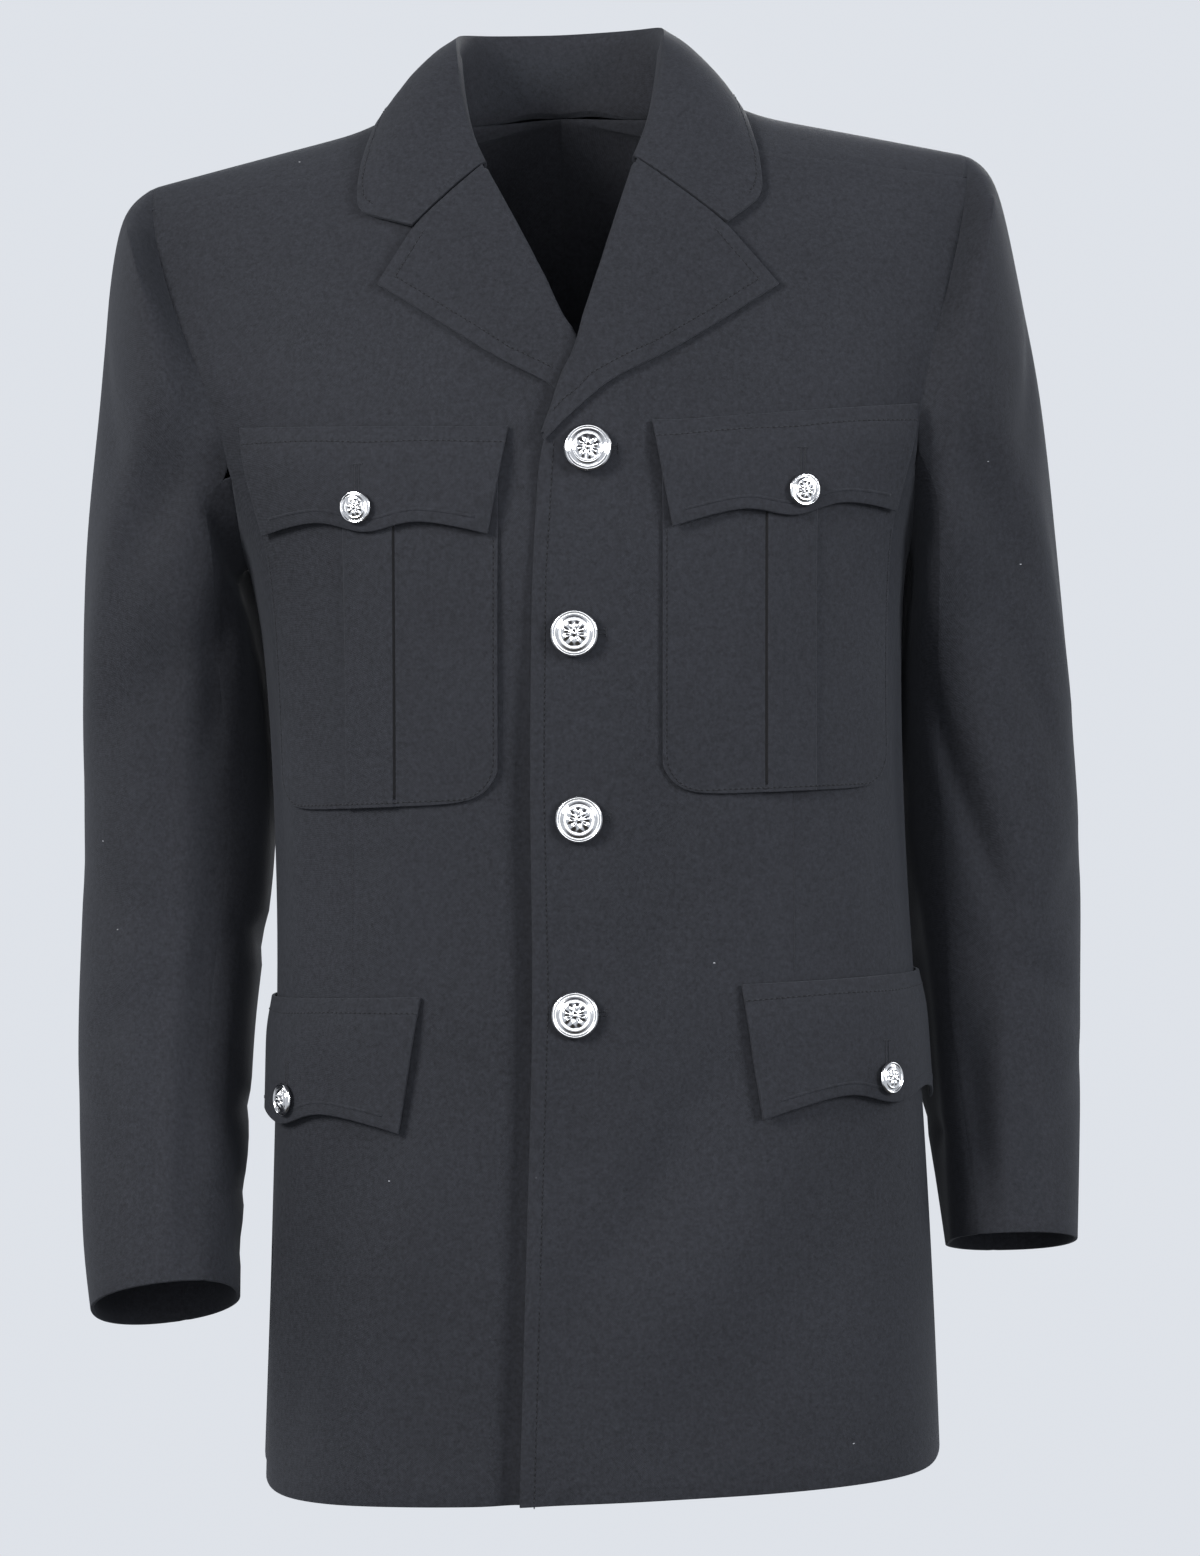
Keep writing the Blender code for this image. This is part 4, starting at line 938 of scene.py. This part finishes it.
front_line = [(reach, height) for height, reach in LEFT_EDGE[:6]]
sewing["left"].append(line_on_cloth(outside["left"], inset(front_line, -TOPSTITCH_IN)))
left_lapel = [(reach, height) for height, reach in LEFT_LAPEL]
sewing["left"].append(line_on_cloth(outside["left"], inset(left_lapel, -TOPSTITCH_IN)))
right_lapel = [(reach, height) for height, reach in RIGHT_LAPEL]
sewing["right"].append(line_on_cloth(outside["right"], inset(right_lapel, TOPSTITCH_IN)))
for side in sewing:
    stitched(f"topstitching_{side}", sewing[side], STITCHES, THREAD)
    # Near-black strips along each sewn line: painted shade in the pressed seams.
    shade_and_ridge_strip(f"shade_and_ridge_strip_{side}", sewing[side], 0.00045, SHADOW)
    shade_and_ridge_strip(f"flap_ridge_{side}", ridges[side], 0.0011, CHARCOAL, 0.00032)
    shade_and_ridge_strip(f"pleat_shadow_{side}", pleat_shadow_lines[side], 0.0013, SHADOW)


def dart(side, reach, top, bottom):
    """A narrow seam line pressed into a front."""
    points = [on_cloth(outside[side], reach, height, 0.0001) for height in np.linspace(top, bottom, 40)]
    return [point for point in points if point is not None]


# The darts' close stitches are handed the near-black seam_shadow cloth: painted shade along each dart
# seam.
darts = [dart("left", 0.1185, -0.392, -0.489), dart("right", -0.1290, -0.400, -0.489)]
for side, line in zip(SIDES, darts):
    stitched(f"dart_{side}", [line], STITCHES, SHADOW, pitch=0.0010, length=0.0022, radius=0.00042)


def buttonhole(name, side, reach, height, length, upright):
    """A worked buttonhole: two rows of close stitches and a bar, in the direction it is cut."""
    half = 0.0011
    if upright:
        runs = [[(reach + s * half, height), (reach + s * half, height + length)] for s in (-1, 1)]
        bar = [(reach - 0.0024, height + length), (reach + 0.0024, height + length)]
    else:
        runs = [[(reach, height + s * half), (reach + length, height + s * half)] for s in (-1, 1)]
        bar = [(reach + length, height - 0.0024), (reach + length, height + 0.0024)]
    lines = [line_on_cloth(outside[side], run, 0.001) for run in runs + [bar]]
    stitched(name, lines, STITCHES, THREAD, pitch=0.0008, length=0.0013, radius=0.00055)


# Front buttonholes: height and distance along the cloth.
FRONT_HOLES = ((-0.2050, 0.0020), (-0.3015, -0.0045), (-0.4020, -0.0020), (-0.5080, -0.0045))
for number, (height, reach) in enumerate(FRONT_HOLES, 1):
    buttonhole(f"front_buttonhole_{number}", "left", reach, height, 0.0185, False)
for side, sign in SIDES.items():
    buttonhole(f"chest_buttonhole_{side}", side, sign * 0.1200, -0.2255, 0.0215, True)
    buttonhole(f"skirt_buttonhole_{side}", side, sign * 0.1750, -0.5495, 0.0185, True)


def roll_edge(name, edge, low, high, sign):
    """The rounded fold where a front turns back into its lapel."""
    heights, reaches = np.array(sorted(edge)).T
    rings = []
    count = 44
    radius = 0.00255
    for i, height in enumerate(np.linspace(low, high, count)):
        reach = float(np.interp(height, heights, reaches))
        spot, outward = torso_spot(reach, height)
        inner, _ = torso_spot(reach + sign * 0.006, height)
        across = (inner - spot).normalized()
        above = spot + across * 0.0025 + outward * LOOK_FROM
        hit, _, _, _ = everything.ray_cast(above, -outward, 2 * LOOK_FROM)
        lift = (hit - spot).dot(outward) if hit is not None else 0.0029
        middle = spot + outward * (lift - radius + 0.0001) + across * (radius * 0.62)
        ring = []
        for a in np.linspace(-0.35, math.pi + 0.35, 9):
            ring.append(middle + outward * math.cos(a) * radius - across * math.sin(a) * radius * 1.1)
        rings.append(ring)
    mesh = bmesh.new()
    grid = [[mesh.verts.new(p) for p in ring] for ring in rings]
    for one, two in zip(grid, grid[1:]):
        for j in range(len(one) - 1):
            mesh.faces.new((one[j], one[j + 1], two[j + 1], two[j]))
    bmesh.ops.recalc_face_normals(mesh, faces=mesh.faces)
    piece = placed(name, mesh_data(name, mesh))
    wall = piece.modifiers.new("wall", "SOLIDIFY")
    wall.thickness = 0.0012
    wall.offset = -1
    solid_mesh(piece)
    piece.data.materials.append(CHARCOAL)
    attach(piece, "root")


# Rings of a button's face: share of its radius. The last three turn over its rim.
FACE = (
    0, 0.06, 0.12, 0.17, 0.22, 0.28, 0.34, 0.40, 0.46, 0.52, 0.57, 0.61, 0.64, 0.67, 0.71, 0.76,
    0.80, 0.83, 0.86, 0.90, 0.94, 0.97, 0.99, 1.0, 0.99, 0.96,
)
RIM_TURN = {23: 2.0, 24: 1.45, 25: 1.0}
BUTTON_SEGMENTS = 80
SHANK = 0.28
PETALS = 8


def swell(share, place, width):
    """A soft round swelling on a button's face."""
    return math.exp(-((share - place) / width) ** 2)


def face_height(share, angle):
    """The rosette, its heart, the ring and the rim, as shares of the button's radius."""
    petals = 0.5 + 0.5 * math.cos(PETALS * angle)
    flower = petals * swell(share, 0.36, 0.13) * 0.085
    heart = 0.090 * swell(share, 0, 0.10) - 0.02 * swell(share, 0.16, 0.03)
    return flower + heart + 0.055 * swell(share, 0.64, 0.030) + 0.110 * swell(share, 0.92, 0.045)


def button_disc(name, turn):
    """A domed metal button with a plain rim and a generic rosette, on its solid's place."""
    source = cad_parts[name]
    points = points_of(source)
    middle = (points.max(axis=0) + points.min(axis=0)) / 2
    centred = points - points.mean(axis=0)
    _, _, axes = np.linalg.svd(centred, full_matrices=False)
    normal = Vector(axes[2])
    if normal.y > 0:
        normal = -normal
    outward = np.array(normal)
    radius = np.linalg.norm(centred - np.outer(centred @ outward, outward), axis=1).max()
    low = (points @ outward).min()
    foot = Vector(np.array(points.mean(axis=0)) + outward * (low - points.mean(axis=0) @ outward))
    height = radius * 0.16
    turns = [2 * math.pi * k / BUTTON_SEGMENTS for k in range(BUTTON_SEGMENTS)]
    mesh = bmesh.new()
    rings = []
    for index, share in enumerate(FACE):
        ring = []
        for angle in turns[:1] if share == 0 else turns:
            z = 2.0 * height + radius * 0.20 * math.cos(min(share / 0.84, 1) * math.pi / 2)
            z += radius * face_height(share, angle)
            if index in RIM_TURN:
                z = RIM_TURN[index] * height
            spot = (radius * share * math.cos(angle), radius * share * math.sin(angle), z)
            ring.append(mesh.verts.new(spot))
        rings.append(ring)
    for z in (height, 0):
        shank = [(SHANK * radius * math.cos(a), SHANK * radius * math.sin(a), z) for a in turns]
        rings.append([mesh.verts.new(spot) for spot in shank])
    rings.append([mesh.verts.new((0, 0, 0))])
    for one, two in zip(rings, rings[1:]):
        for k in range(BUTTON_SEGMENTS):
            j = (k + 1) % BUTTON_SEGMENTS
            if len(one) == 1:
                mesh.faces.new((one[0], two[k], two[j]))
            elif len(two) == 1:
                mesh.faces.new((one[k], two[0], one[j]))
            else:
                mesh.faces.new((one[k], two[k], two[j], one[j]))
    bmesh.ops.recalc_face_normals(mesh, faces=mesh.faces)
    facing = normal.to_track_quat("Z", "Y").to_matrix().to_4x4()
    turned = facing @ Matrix.Rotation(math.radians(turn), 4, "Z")
    mesh.transform(Matrix.Translation(foot) @ turned)
    data = mesh_data(name + "_metal", mesh)
    data.shade_smooth()
    data.materials.append(CHROME)
    piece = placed(name + "_metal", data)
    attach(piece, "root")
    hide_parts(name)


roll_edge("lapel_fold_left", LEFT_EDGE, -0.196, -0.0445, 1)
roll_edge("lapel_fold_right", RIGHT_EDGE, -0.165, -0.0445, -1)
for name, turn in BUTTONS.items():
    button_disc(name, turn)

for node, piece in cloth.items():
    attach(piece, "root")
    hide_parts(node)

# Stage

# The room's pale band and the darker colours above and below it, by share of the height.
SKY = ((0.14, (0.050, 0.047, 0.042, 1)), (0.90, (0.07, 0.07, 0.08, 1)))
SKY_BAND = (0.27, 0.76)
PALE = (0.735, 0.765, 0.815, 1)

# Lamps: name, place, size, watts, colour. They point at the middle of the tunic.
LAMPS = (
    ("key", (-2.3, -2.3, 1.0), 1.1, 195, (1.0, 0.985, 0.96)),
    ("front", (0.1, -3.6, -0.4), 2.2, 55, (1.0, 1.0, 1.0)),
    ("second", (2.5, -2.2, 0.6), 1.1, 135, (0.97, 0.985, 1.0)),
    ("back", (0.8, 2.6, 1.3), 1.4, 75, (1.0, 1.0, 1.0)),
    ("side_left", (2.8, 0.8, 0.7), 1.2, 28, (1.0, 1.0, 1.0)),
    ("side_right", (-2.8, 0.8, 0.7), 1.2, 24, (1.0, 1.0, 1.0)),
)
TUNIC_MIDDLE = Vector((0.02, 0, -0.35))

# The camera: its place, its distance from the front, and the size of a pixel there.
CAMERA_PLACE = (0.0228, -2.525, -0.3795)
CAMERA_DISTANCE = 2.4
PIXEL = 0.00054
HALF_FRAME = 600


def studio():
    """A pale room, darker above and below, and soft lights."""
    world = bpy.data.worlds.new("pale_room")
    world.use_nodes = True
    tree = world.node_tree
    sky = tree.nodes["Background"]
    heading = add_node(tree, "ShaderNodeSeparateXYZ")
    tree.links.new(add_node(tree, "ShaderNodeTexCoord").outputs["Generated"], heading.inputs["Vector"])
    ramp = add_node(tree, "ShaderNodeValToRGB")
    share = link_math(tree, "ADD", link_math(tree, "MULTIPLY", heading.outputs["Z"], 0.5), 0.5)
    tree.links.new(share, ramp.inputs["Fac"])
    for end, (place, colour) in zip(ramp.color_ramp.elements, SKY):
        end.position = place
        end.color = colour
    for place in SKY_BAND:
        ramp.color_ramp.elements.new(place).color = PALE
    tree.links.new(ramp.outputs["Color"], sky.inputs["Color"])
    scene.world = world
    for name, spot, size, power, colour in LAMPS:
        lamp = bpy.data.lights.new(name, "AREA")
        lamp.energy = power
        lamp.size = size
        lamp.color = colour
        lit = bpy.data.objects.new(name, lamp)
        lit.location = spot
        lit.rotation_euler = (TUNIC_MIDDLE - Vector(spot)).to_track_quat("-Z", "Y").to_euler()
        scene.collection.objects.link(lit)


def photo_camera():
    """The camera at the photograph's place: straight on, 2.4 m from the front."""
    lens = bpy.data.cameras.new("camera")
    lens.sensor_fit = "HORIZONTAL"
    lens.angle = 2 * math.atan(HALF_FRAME * PIXEL / CAMERA_DISTANCE)
    camera = bpy.data.objects.new("camera", lens)
    camera.location = CAMERA_PLACE
    camera.rotation_euler = (math.pi / 2, 0, 0)
    scene.collection.objects.link(camera)
    scene.camera = camera


studio()
photo_camera()
scene.view_settings.view_transform = "Standard"
